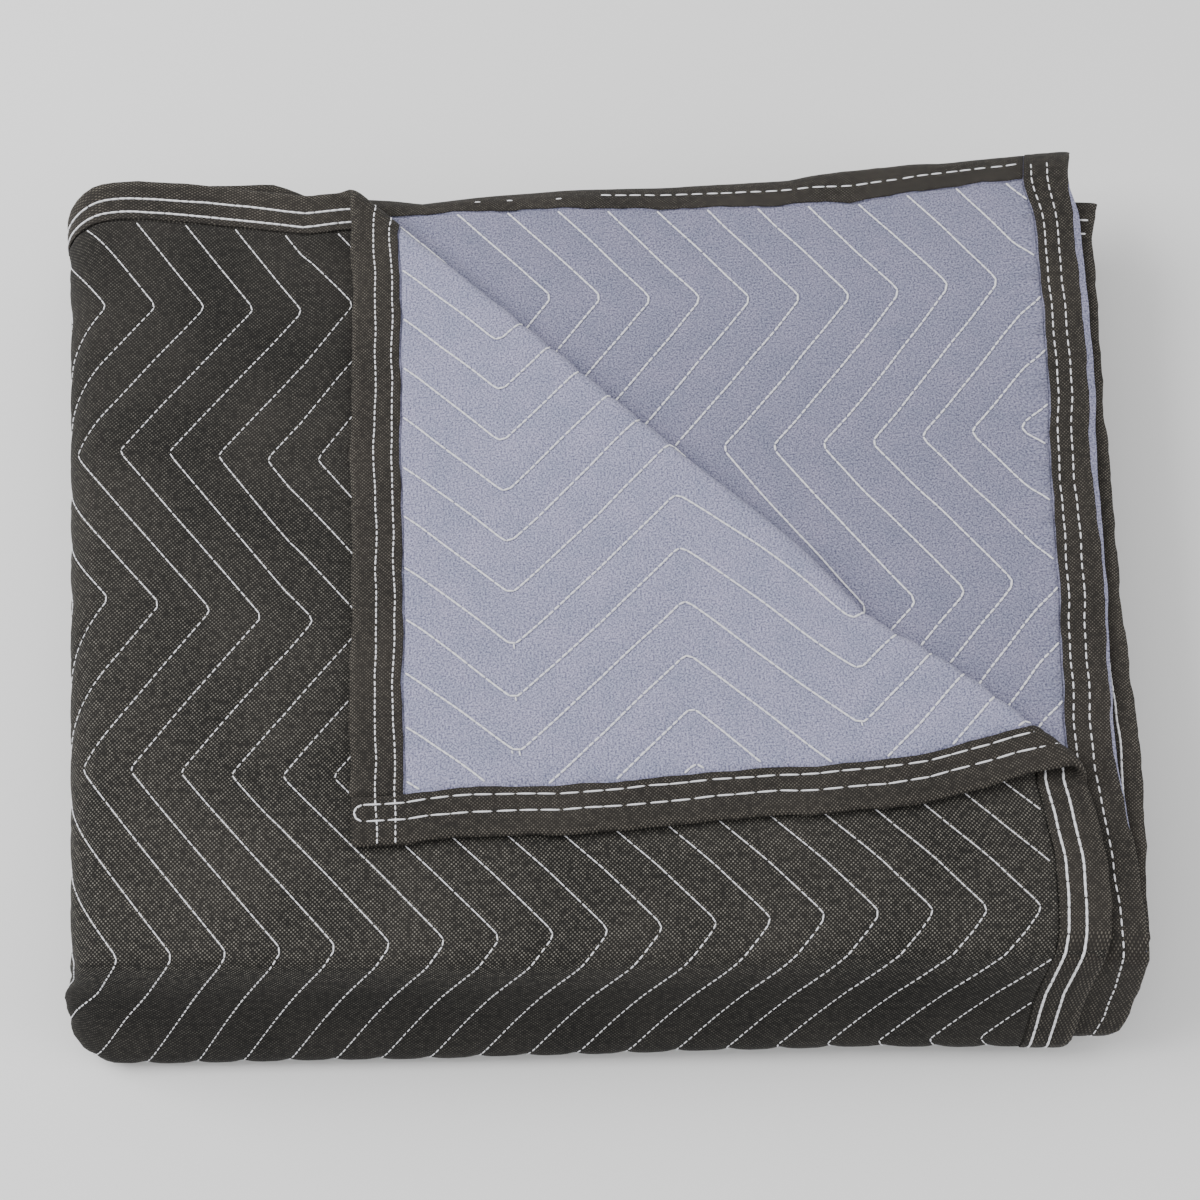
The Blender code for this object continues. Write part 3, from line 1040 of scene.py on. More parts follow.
@dataclass
class BindingTapes:
    """The four tapes folded over the pad's edges."""

    finish: bpy.types.Material
    step: float = 4.2

    def section(self) -> Array:
        """The closed section, as rows of inward and depth, with its first point repeated."""
        half = np.array(TAPE_OUTSIDE)
        other = (half * (1, -1) + (0, PLAN.slot))[::-1][1:]
        lining = np.array(TAPE_INSIDE)
        far_lining = (lining * (1, -1) + (0, PLAN.slot))[::-1][:-1]
        return np.concatenate([half, other, far_lining, lining, half[:1]])

    def places_along(self, hem: Hem) -> Array:
        """Where the tape is given its points, which lie closer in its folds.

        Args:
            hem: The edge.

        Returns:
            The places along the edge.
        """
        if hem.runs_down:
            folds = ((PLAN.run_y, PLAN.arc_front, 18), (PLAN.half_y, PLAN.arc_half_y, 12))
        else:
            folds = ((PLAN.run_x, PLAN.arc_left, 12), (PLAN.half_x, PLAN.arc_half_x, 8))
        end = hem.length
        start = -0.6 if hem.runs_down else PLAN.rim - 0.2
        outer, middle = folds
        ends = [start, outer[0], outer[0] + outer[1], middle[0], middle[0] + middle[1]]
        ends += [end - outer[0] - outer[1], end - outer[0], end - start]
        runs = [max(2, round((high - low) / self.step)) for low, high in zip(ends, ends[1:])]
        runs[1] = runs[5] = outer[2]
        runs[3] = middle[2]
        return stations(ends, runs)

    def tape(self, hem: Hem) -> bpy.types.Object:
        """Builds the tape of one edge.

        Args:
            hem: The edge.

        Returns:
            The piece.
        """
        cloth = FlatCloth(hem.value.replace("binding", "tape"), Side.WOVEN)
        section = self.section()
        along = self.places_along(hem)
        seed = 3.0 * list(Hem).index(hem)

        def place(point: Array, at: Array) -> tuple[Array, Array, Array]:
            """Places the section's points along the edge, a little unevenly."""
            inward, depth = section[point.astype(int)].T
            outside = eased(1.05, 0.6, np.minimum(depth, PLAN.slot - depth))
            stray = np.where((hem is Hem.BACK) & (at > PLAN.half_x), LOOSE_STRAY, SEWN_STRAY)
            sewn = eased(14, 22, inward) * stray * wander(at, seed, 46)
            hemmed = eased(8, -1, inward) * HEM_STRAY * wander(at, seed + 1, 38)
            pucker = PUCKER * outside * wander(at, seed + 2, 11) * eased(1, 5, inward)
            laid = hem.slipped(inward, at, depth > PLAN.slot / 2)
            across, down = hem.flat(laid + sewn + hemmed, at)
            return across, down, depth + pucker * np.sign(PLAN.slot / 2 - depth)

        made = cloth.add_grid(np.arange(len(section), dtype=float), along, place)
        bmesh.ops.remove_doubles(cloth.bm, verts=made, dist=1e-4)
        ends = [edge for edge in cloth.bm.edges if edge.is_boundary]
        bmesh.ops.holes_fill(cloth.bm, edges=ends, sides=0)
        self.draw_in(cloth, hem)
        cloth.cut_crease()
        bmesh.ops.recalc_face_normals(cloth.bm, faces=cloth.bm.faces[:])
        at = np.array([corner.co for corner in cloth.bm.verts])
        for corner, spot in zip(cloth.bm.verts, PLAN.folded(at[:, 0], at[:, 1], at[:, 2])):
            corner.co = (spot[0], spot[1], max(spot[2], 0.0))
        # Each flat axis runs against its world axis, so the folding turns the faces inside out.
        bmesh.ops.reverse_faces(cloth.bm, faces=cloth.bm.faces[:])
        return finished(cloth.name, cloth.bm, self.finish)

    def draw_in(self, cloth: FlatCloth, hem: Hem) -> None:
        """Stores each point's place on the tape as its UV, and draws the edges in.

        Args:
            cloth: The flat tape.
            hem: Its edge.
        """
        layer = cloth.bm.loops.layers.uv.verify()
        for face in cloth.bm.faces:
            for loop in face.loops:
                u, v, depth = loop.vert.co
                along, inward = (v, u) if hem.runs_down else (u, v)
                if hem in (Hem.LEFT, Hem.FRONT):
                    inward = (PLAN.wide if hem is Hem.LEFT else PLAN.long) - inward
                round_it = inward if depth < PLAN.slot / 2 else -inward - PLAN.slot
                loop[layer].uv = (along * MM, (round_it + UV_MARGIN) * MM)
        at = np.array([corner.co for corner in cloth.bm.verts])
        across, down = PLAN.drawn_in(at[:, 0], at[:, 1])
        for corner, spot in zip(cloth.bm.verts, np.stack([across, down, at[:, 2]], axis=-1)):
            corner.co = spot


@dataclass
class Stitching:
    """Thread laid stitch by stitch on the cloth."""

    finish: bpy.types.Material
    starts: list[Array] = field(default_factory=list)
    ends: list[Array] = field(default_factory=list)

    def sew(
        self,
        path: Array,
        side: Side,
        below: float,
        pitch: float,
        fill: float | Array,
        radius: float = 0.5,
        seed: float = 0.0,
    ) -> None:
        """Adds the stitches of one line of sewing.

        Args:
            path: The line on the flat pad, as rows of across and down, about a millimetre apart.
            side: The side that the stitches show on.
            below: Their depth below that side's top.
            pitch: From one stitch to the next, in millimetres.
            fill: The share of the pitch that thread covers, for the whole line or for each of its points.
            radius: Half the thread's thickness.
            seed: Which line it is, so that no two lines are alike.
        """
        if len(path) < 3:
            return
        cloth = np.stack(PLAN.cloth_place(path[:, 0], path[:, 1]), axis=-1)
        steps = np.linalg.norm(np.diff(cloth, axis=0), axis=1)
        length = np.concatenate([[0.0], np.cumsum(steps)])
        count = int(length[-1] / pitch)
        # No two stitches are quite alike in place, length or height.
        at = (np.arange(count) + 0.1) * pitch
        at = at + 0.12 * pitch * wander(at, seed, 7.3 * pitch)
        share = fill if isinstance(fill, float) else np.interp(at, length, fill)
        long = pitch * share * (1 + 0.1 * wander(at, seed + 2, 3.1 * pitch))
        depth = side.depth(below) - side.value * 0.06 * wander(at, seed + 5, 13)
        for places, store in ((at, self.starts), (at + long, self.ends)):
            across = np.interp(places, length, path[:, 0])
            down = np.interp(places, length, path[:, 1])
            facing = np.full_like(across, side.value)
            store.append(np.stack([across, down, depth, facing, np.full_like(across, radius)], axis=-1))

    def build(self, name: str) -> bpy.types.Object:
        """Makes one piece of the stitches added so far, and starts again.

        Args:
            name: The piece's name.

        Returns:
            The piece.
        """
        first, last = np.concatenate(self.starts), np.concatenate(self.ends)
        self.starts, self.ends = [], []
        one, two = (self.world(spots, 0.0) for spots in (first, last))
        out = self.world((first + last) / 2, 1.0) - self.world((first + last) / 2, 0.0)
        way = (two - one) / 2
        out -= way * (np.sum(out * way, axis=1) / np.sum(way * way, axis=1))[:, None]
        out /= np.linalg.norm(out, axis=1)[:, None]
        across = np.cross(out, way)
        across /= np.linalg.norm(across, axis=1)[:, None]
        thick = first[:, 4:5] * MM
        form, corners, sides = self.one_stitch()
        points = (
            ((one + two) / 2)[:, None]
            + way[:, None] * form[None, :, 2:3]
            + (across * thick)[:, None] * form[None, :, 0:1]
            + (out * thick * THREAD_FLATNESS)[:, None] * form[None, :, 1:2]
        )
        points[..., 2] = np.maximum(points[..., 2], 0.0)
        return finished(name, self.copied(points, corners, sides), self.finish)

    @staticmethod
    def one_stitch() -> tuple[Array, Array, Array]:
        """The form of one stitch, from -1 to 1 along z: a ball that is fuller towards its ends.

        Returns:
            Its points, the points round each of its faces in turn, and how many each face has.
        """
        bm = bmesh.new()
        bmesh.ops.create_uvsphere(bm, u_segments=4, v_segments=4, radius=1.0)
        for corner in bm.verts:
            if 0.1 < abs(corner.co.z) < 0.9:
                corner.co *= STITCH_FULLNESS
        bm.verts.index_update()
        form = np.array([corner.co for corner in bm.verts])
        corners = np.array([corner.index for face in bm.faces for corner in face.verts])
        sides = np.array([len(face.verts) for face in bm.faces])
        bm.free()
        return form, corners, sides

    @staticmethod
    def copied(points: Array, corners: Array, sides: Array) -> bmesh.types.BMesh:
        """One mesh of many copies of a form.

        Args:
            points: Each copy's points, in a row of its own.
            corners: The points round each of the form's faces in turn.
            sides: How many points each face has.

        Returns:
            The mesh.
        """
        count, size = points.shape[:2]
        every = np.tile(corners, count) + np.repeat(np.arange(count) * size, len(corners))
        all_sides = np.tile(sides, count)
        mesh = bpy.data.meshes.new("stitches")
        mesh.vertices.add(count * size)
        mesh.vertices.foreach_set("co", points.ravel())
        mesh.loops.add(len(every))
        mesh.loops.foreach_set("vertex_index", every)
        mesh.polygons.add(len(all_sides))
        mesh.polygons.foreach_set("loop_start", np.concatenate([[0], np.cumsum(all_sides)[:-1]]))
        mesh.update(calc_edges=True)
        mesh.validate()
        bm = bmesh.new()
        bm.from_mesh(mesh)
        bpy.data.meshes.remove(mesh)
        return bm

    @staticmethod
    def world(spots: Array, lift: float) -> Array:
        """Where places on the flat pad's surface come to lie.

        Args:
            spots: Rows of across, down, depth, the side's sign and a radius.
            lift: How far above the cloth, in millimetres.

        Returns:
            The world places in metres.
        """
        across, down = PLAN.drawn_in(spots[:, 0], spots[:, 1])
        return PLAN.folded(across, down, spots[:, 2] + spots[:, 3] * lift)


@dataclass(frozen=True)
class Stitch:
    """How the quilting's thread lies on one side: on each leg of the zigzag it covers its own share."""

    radius: float
    fills: tuple[float, float]
    below: float


# One leg of each zigzag shows its needle holes, and the thread of the other lies nearly unbroken.
QUILT_STITCH = {
    Side.WOVEN: Stitch(radius=0.4, fills=(0.77, 1.0), below=FIELD_TOP + 0.8),
    Side.FELT: Stitch(radius=0.6, fills=(0.96, 1.12), below=FIELD_TOP + 0.55),
}
QUILT_PITCH = 3.7
# The cut ends of thread: each one's row and seam, how far down from the turn it stands, and its length.
CUT_ENDS = ((0, 1, -2.9, 2.0), (0, 1, 0.6, 3.4), (0, 2, 0.5, 2.7), (0, 3, 0.4, 3.3), (2, 1, 0, 2.4))


@dataclass
class ThreadWork:
    """All the sewing that shows: the quilting seams, and the rows that hold the tapes."""

    finish: bpy.types.Material

    def seam_lines(
        self, work: Stitching, seams: SeamRows, span: tuple[int, int], side: Side, shows: Callable
    ) -> None:
        """Sews one lot of zigzag seams.

        Args:
            work: Takes the stitches.
            seams: Where the seams lie.
            span: The first and last seam.
            side: The side that they show on.
            shows: Says which points of a line are sewn, from their places on the flat pad.
        """
        rows = np.linspace(seams.first, seams.last, (seams.last - seams.first) * 110 + 1)
        stitch = QUILT_STITCH[side]
        leg = np.floor(rows).astype(int) % 2
        fill = np.where(leg == 0, *stitch.fills)
        for number in range(*span):
            path = np.stack(seams.place(np.full_like(rows, number), rows), axis=-1)
            kept = shows(path)
            if side is Side.FELT:
                path[:, 0] = felt_drawn(path[:, 0], path[:, 1])
            ends = np.flatnonzero(np.diff(np.concatenate([[0], kept.astype(int), [0]])))
            for low, high in zip(ends[::2], ends[1::2]):
                part = slice(low, high)
                work.sew(
                    path[part], side, stitch.below, QUILT_PITCH, fill[part], stitch.radius, number
                )

    @staticmethod
    def past_fold(path: Array) -> Array:
        """How far points of the flat pad lie beyond the turned corner's fold."""
        return PLAN.past_crease_flat(*PLAN.drawn_in(path[:, 0], path[:, 1]))

    @staticmethod
    def on_field(path: Array) -> Array:
        """Whether points of the flat pad lie clear of the tapes."""
        return inward_of(path[:, 0], path[:, 1]) > TAPE_WIDE + THREAD_CLEAR

    def quilting(self) -> list[bpy.types.Object]:
        """Sews the quilting seams where they show.

        Returns:
            The pieces.
        """
        work = Stitching(self.finish)

        def shows_on_shell(path: Array) -> Array:
            """The woven face of the stack's outside, up to the turned corner."""
            outside = (path[:, 0] < PLAN.run_x + PLAN.arc_left) & (path[:, 1] < PLAN.half_y)
            top = path[:, 1] < PLAN.run_y
            return self.on_field(path) & outside & ~(top & (self.past_fold(path) > PLAN.crease_arc / 2))

        self.seam_lines(work, SHELL_SEAMS, SHELL_SPAN, Side.WOVEN, shows_on_shell)
        on_woven = work.build("quilting_thread_woven")

        def shows_on_corner(path: Array) -> Array:
            """The felt of the turned corner."""
            return self.on_field(path) & (self.past_fold(path) > PLAN.crease_arc / 2)

        def shows_on_second(path: Array) -> Array:
            """The felt of the second layer, up to a little way under the turned corner."""
            mirrored = np.stack([PLAN.wide - path[:, 0], path[:, 1]], axis=-1)
            seen = self.past_fold(mirrored) > -UNDER_CREASE
            return self.on_field(path) & seen & (path[:, 1] < PLAN.run_y)

        self.seam_lines(work, CORNER_SEAMS, CORNER_SPAN, Side.FELT, shows_on_corner)
        self.seam_lines(work, SECOND_SEAMS, SECOND_SEWN, Side.FELT, shows_on_second)
        self.cut_ends(work)
        return [on_woven, work.build("quilting_thread_felt")]

    @staticmethod
    def cut_ends(work: Stitching) -> None:
        """Leaves the thread's cut ends standing at a few of the turned corner's turns.

        Args:
            work: Takes them as stitches.
        """
        for row, seam, off, long in CUT_ENDS:
            turn = CORNER_SEAMS.place(np.array([seam]), np.array([row]))
            across, down = float(turn[0][0]) + 0.3, float(turn[1][0]) + off
            path = np.linspace((across, down), (across - long, down + 0.5), 6)
            work.sew(path, Side.FELT, FIELD_TOP + 0.25, 0.85 * long, 1.1, 0.42)

    def tape_row(
        self,
        work: Stitching,
        hem: Hem,
        side: Side,
        span: tuple[float, float],
        pitch: float,
        fill: float,
        radius: float = 0.5,
        rows: tuple[float, ...] = (ROW_OUT, ROW_IN),
    ) -> None:
        """Sews the two rows that hold a tape.

        Args:
            work: Takes the stitches.
            hem: The tape's edge.
            side: The side that they show on.
            span: From where to where along the edge.
            pitch: From one stitch to the next.
            fill: The share of the pitch that thread covers.
            radius: Half the thread's thickness.
            rows: How far in from the edge each row lies.
        """
        along = np.arange(*span, 1.5)
        for number, inward in enumerate(rows):
            seed = 7.0 * list(Hem).index(hem) + 3.1 * number + side.value
            at = hem.slipped(inward, along, side is Side.FELT) + 0.35 * wander(along, seed, 90)
            across, down = hem.flat(at, along)
            work.sew(np.stack([across, down], axis=-1), side, 0.2, pitch, fill, radius, seed)

    def tape_rows(self) -> list[bpy.types.Object]:
        """Sews the tapes down where their rows show.

        Returns:
            The pieces.
        """
        work = Stitching(self.finish)
        wide, long = PLAN.wide, PLAN.long
        # The machine's upper thread lies on the woven side, heavy and unbroken, and the stitches show
        # apart only on the felt side.
        heavy = {"pitch": 4.2, "fill": 1.14, "radius": 0.68}
        last = long - PLAN.run_y - PLAN.arc_front
        self.tape_row(work, Hem.RIGHT, Side.WOVEN, (0, PLAN.half_y), **heavy)
        self.tape_row(work, Hem.BACK, Side.WOVEN, (1, PLAN.run_x + PLAN.arc_left), **heavy)
        self.tape_row(work, Hem.LEFT, Side.WOVEN, (last, long - 23), **heavy, rows=(8.6, ROW_IN))
        self.tape_row(work, Hem.FRONT, Side.WOVEN, (wide - PLAN.run_x, wide), **heavy)
        for row, end in ((ROW_OUT, PLAN.run_y + PLAN.arc_front), (ROW_IN, 424)):
            self.tape_row(work, Hem.LEFT, Side.FELT, (13, end), 5.2, 0.74, 0.46, (row,))
        self.tape_row(work, Hem.BACK, Side.FELT, (wide - 250, wide - 18), 8.0, 0.78, 0.62, (13.0,))
        for start in (wide - 316, wide - 299, wide - 273):
            self.tape_row(work, Hem.BACK, Side.FELT, (start, start + 6), 4.4, 0.78, 0.55, (16.0,))
        self.tape_row(work, Hem.BACK, Side.FELT, (-1.2, 400), 3.3, 0.8, 0.46)
        self.tape_row(work, Hem.RIGHT, Side.FELT, (4, 400), 10.0, 0.92, 0.52)
        # The machine turned round at the corner, from one row back into the other.
        turn = np.linspace(0, math.pi, 30)
        middle, half = (ROW_OUT + ROW_IN) / 2, (ROW_IN - ROW_OUT) / 2
        loop = Hem.RIGHT.flat(middle + half * np.cos(turn), 5 - 4.5 * np.sin(turn))
        work.sew(np.stack(loop, axis=-1), Side.FELT, 0.15, 3.0, 1.1, 0.52, 1.0)
        return [work.build("binding_thread")]


def linear(code: str) -> tuple[float, float, float, float]:
    """Turns an sRGB hex colour to a linear one.

    Args:
        code: The colour, as six hex digits after a hash.

    Returns:
        Its linear red, green and blue, and an alpha of 1.
    """
    parts = [int(code[at : at + 2], 16) / 255 for at in (1, 3, 5)]
    red, green, blue = (
        part / 12.92 if part <= 0.04045 else ((part + 0.055) / 1.055) ** 2.4 for part in parts
    )
    return red, green, blue, 1.0


def put(
    tree: bpy.types.NodeTree, kind: str, inputs: dict[str | int, Any], out: str | int = 0, **settings: Any
) -> Any:
    """Adds a shader node with its settings, values and links.

    Args:
        tree: The material's nodes.
        kind: The node's type, without its prefix.
        inputs: What goes into each socket: another node's output, or a value.
        out: Which of its outputs is wanted.
        settings: The node's own settings.

    Returns:
        That output, or None from a node that has none.
    """
    node = tree.nodes.new("ShaderNode" + kind)
    for name, value in settings.items():
        setattr(node, name, value)
    for socket, value in inputs.items():
        if isinstance(value, bpy.types.NodeSocket):
            tree.links.new(value, node.inputs[socket])
        else:
            node.inputs[socket].default_value = value
    return node.outputs[out] if node.outputs else None


# Sockets that Blender tells apart only by their place: a mix's two colours and its result.
MIX_FIRST, MIX_SECOND, MIX_RESULT = 6, 7, 2


@dataclass(frozen=True)
class Finish:
    """What a surface is made of."""

    name: str

    def shade(self, tree: bpy.types.NodeTree) -> bpy.types.NodeSocket:
        """Adds the nodes of the surface and gives their shader, which each finish has its own way of."""
        raise NotImplementedError

    def build(self) -> bpy.types.Material:
        """Makes the material."""
        material = bpy.data.materials.new(self.name)
        material.use_nodes = True
        tree = material.node_tree
        tree.nodes.clear()
        put(tree, "OutputMaterial", {"Surface": self.shade(tree)})
        return material


@dataclass(frozen=True)
class WovenPolyester(Finish):
    """Spun polyester in a loose diagonal weave: dull charcoal, flecked where light yarns cross it."""

    name: str = "woven polyester, charcoal"
    dark: str = "#1c1b1a"
    mid: str = "#292725"
    fleck: str = "#8a867d"
    # The flecks lie 1.45 mm apart along both diagonals.
    fleck_pitch: float = 1.45
    # Their radius and the softness of their rim, as shares of that.
    fleck_size: float = 0.26
    fleck_rim: float = 0.12
    lean: float = 0.79
    closed: float = 0.42
    # How far down the cloth, in metres, the flecks grow, the flecks and the ground are darkened as
    # painted shade on the front fold's wall, and that painted shade ends.
    opens: tuple[float, float] = (0.1, 0.36)
    painted_fleck_shade_span: tuple[float, float] = (0.43, 0.455)
    painted_shade_span: tuple[float, float] = (0.425, 0.455)
    painted_shade_end_span: tuple[float, float] = (0.472, 0.505)
    # Waves in a metre of cloth: stray yarns 6 mm long, worn patches of 3 mm, and rubbed clouds of 60 mm.
    stray: float = 160.0
    wear: float = 330.0
    rubbed: float = 17.0
    roughness: float = 0.92
    bump: float = 0.35

    def fleck_share_with_painted_light(self, tree: bpy.types.NodeTree, down: bpy.types.NodeSocket) -> bpy.types.NodeSocket:
        """How much of the light yarn the weave lets show, from how far down the cloth it is.

        More of it shows towards the front fold, and it is dimmed again where the cloth goes over the
        fold, as painted shade on the fold's wall.

        Args:
            tree: The material's nodes.
            down: The place down the cloth, in metres.

        Returns:
            The share that shows.
        """
        start, end = self.opens
        front = put(tree, "MapRange", {"Value": down, 1: start, 2: end, 3: self.closed, 4: 1.0})
        start, end = self.painted_fleck_shade_span
        # Painted shade: the flecks dim on the front fold's wall.
        painted_fleck_shade = put(tree, "MapRange", {"Value": down, 1: start, 2: end, 3: 1.0, 4: 0.4})
        return put(tree, "Math", {0: front, 1: painted_fleck_shade}, operation="MULTIPLY")

    def ground_painted_shade(
        self, tree: bpy.types.NodeTree, down: bpy.types.NodeSocket
    ) -> bpy.types.NodeSocket | float:
        """How light the dark yarn is: it is darkened as painted shade on the front fold's wall.

        Args:
            tree: The material's nodes.
            down: The place down the cloth, in metres.

        Returns:
            Its share of the even cloth's lightness.
        """
        start, end = self.painted_shade_span
        # Painted shade: the ground darkens on the front fold's wall and lightens again at its foot.
        dull = put(tree, "MapRange", {"Value": down, 1: start, 2: end, 3: 1.0, 4: 0.62})
        start, end = self.painted_shade_end_span
        clear = put(tree, "MapRange", {"Value": down, 1: start, 2: end, 3: 0.0, 4: 0.38})
        return put(tree, "Math", {0: dull, 1: clear}, operation="ADD")

    def flecks(self, tree: bpy.types.NodeTree, cloth: bpy.types.NodeSocket) -> bpy.types.NodeSocket:
        """Where the light yarns cross: round spots in rows along both diagonals.

        Args:
            tree: The material's nodes.
            cloth: The place on the cloth, in metres.

        Returns:
            1 in a spot, 0 between them.
        """
        turned = put(tree, "Mapping", {"Vector": cloth, "Rotation": (0, 0, self.lean)})
        # The yarns wander, so the flecks stand in uneven lines: 0.25 mm off.
        off = put(tree, "TexNoise", {"Vector": cloth, "Scale": self.stray, "Detail": 1.0}, "Color")
        shift = put(tree, "VectorMath", {0: off, 1: (0.5, 0.5, 0.5)}, operation="SUBTRACT")
        strayed = put(
            tree, "VectorMath", {0: shift, 1: (0.0008,) * 3, 2: turned}, operation="MULTIPLY_ADD"
        )
        cells = put(tree, "VectorMath", {0: strayed, "Scale": 1000 / self.fleck_pitch}, operation="SCALE")
        inside = put(tree, "VectorMath", {0: cells}, operation="FRACTION")
        centred = put(tree, "VectorMath", {0: inside, 1: (0.5, 0.5, 0.0)}, operation="SUBTRACT")
        flat = put(tree, "VectorMath", {0: centred, 1: (1, 1, 0)}, operation="MULTIPLY")
        away = put(tree, "VectorMath", {0: flat}, "Value", operation="LENGTH")
        outer, inner = self.fleck_size + self.fleck_rim, self.fleck_size - self.fleck_rim
        return put(
            tree,
            "MapRange",
            {"Value": away, 1: outer, 2: inner, 3: 0.0, 4: 1.0},
            interpolation_type="SMOOTHSTEP",
        )

    def shade(self, tree: bpy.types.NodeTree) -> bpy.types.NodeSocket:
        """Lays the flecks over a dark ground that is clouded where it has been rubbed, with painted shade
        on the front fold's wall and a painted highlight on the tape's folded edge.

        Args:
            tree: The material's nodes.

        Returns:
            The shader.
        """
        cloth = put(tree, "UVMap", {})
        spot = self.flecks(tree, cloth)
        # Each crossing shows more or less of the light yarn.
        worn = put(tree, "TexNoise", {"Vector": cloth, "Scale": self.wear, "Detail": 2.0})
        shown = put(tree, "MapRange", {"Value": worn, 1: 0.35, 2: 0.7, 3: 0.12, 4: 1.0})
        down = put(tree, "SeparateXYZ", {0: cloth}, "Y")
        # The flecks take painted shade on the front fold's wall, and a painted highlight on the tape's
        # folded edge.
        fleck_share_with_painted_light = self.fleck_share_with_painted_light(tree, down)
        showing = put(tree, "Math", {0: shown, 1: fleck_share_with_painted_light}, operation="MULTIPLY")
        fleck = put(tree, "Math", {0: spot, 1: showing}, operation="MULTIPLY")
        cloud = put(tree, "TexNoise", {"Vector": cloth, "Scale": self.rubbed, "Detail": 4.0})
        clouded = put(tree, "MapRange", {"Value": cloud, 1: 0.35, 2: 0.65, 3: 0.0, 4: 1.0})
        yarns = {"Factor": clouded, MIX_FIRST: linear(self.dark), MIX_SECOND: linear(self.mid)}
        ground = put(tree, "Mix", yarns, MIX_RESULT, data_type="RGBA")
        # The ground takes painted shade on the front fold's wall.
        share = self.ground_painted_shade(tree, down)
        shaded = put(tree, "VectorMath", {0: ground, "Scale": share}, operation="SCALE")
        flecked = {"Factor": fleck, MIX_FIRST: shaded, MIX_SECOND: linear(self.fleck)}
        surface = {
            "Base Color": put(tree, "Mix", flecked, MIX_RESULT, data_type="RGBA"),
            "Roughness": self.roughness,
            "IOR": 1.5,
            "Specular IOR Level": 0.2,
            "Sheen Weight": 0.02,
            "Sheen Roughness": 0.5,
            "Normal": put(tree, "Bump", {"Height": fleck, "Strength": self.bump, "Distance": 0.0003}),
        }
        return put(tree, "BsdfPrincipled", surface)


@dataclass(frozen=True)
class WovenTape(WovenPolyester):
    """Tape of the same sort of cloth, a little browner and closer: the same flecks, 1.3 mm apart."""

    name: str = "woven polyester tape, black"
    dark: str = "#242220"
    mid: str = "#302d2a"
    fleck: str = "#6c675f"
    fleck_pitch: float = 1.3

    def fleck_share_with_painted_light(self, tree: bpy.types.NodeTree, down: bpy.types.NodeSocket) -> bpy.types.NodeSocket:
        """How much of the light yarn shows: more along the folded edge, 28 mm from the pattern's start,
        as a painted highlight of the fold.

        Args:
            tree: The material's nodes.
            down: The place across the tape, in metres.

        Returns:
            The share that shows.
        """
        # Painted highlight: the flecks are brighter along the tape's folded edge.
        off = put(tree, "Math", {0: down, 1: 0.028}, operation="SUBTRACT")
        away = put(tree, "Math", {0: off}, operation="ABSOLUTE")
        return put(tree, "MapRange", {"Value": away, 1: 0.003, 2: 0.0055, 3: 2.2, 4: 1.0})

    def ground_painted_shade(self, tree: bpy.types.NodeTree, down: bpy.types.NodeSocket) -> float:
        """How light the dark yarn is: the same all over the tape, with no painted shade."""
        return 1.0


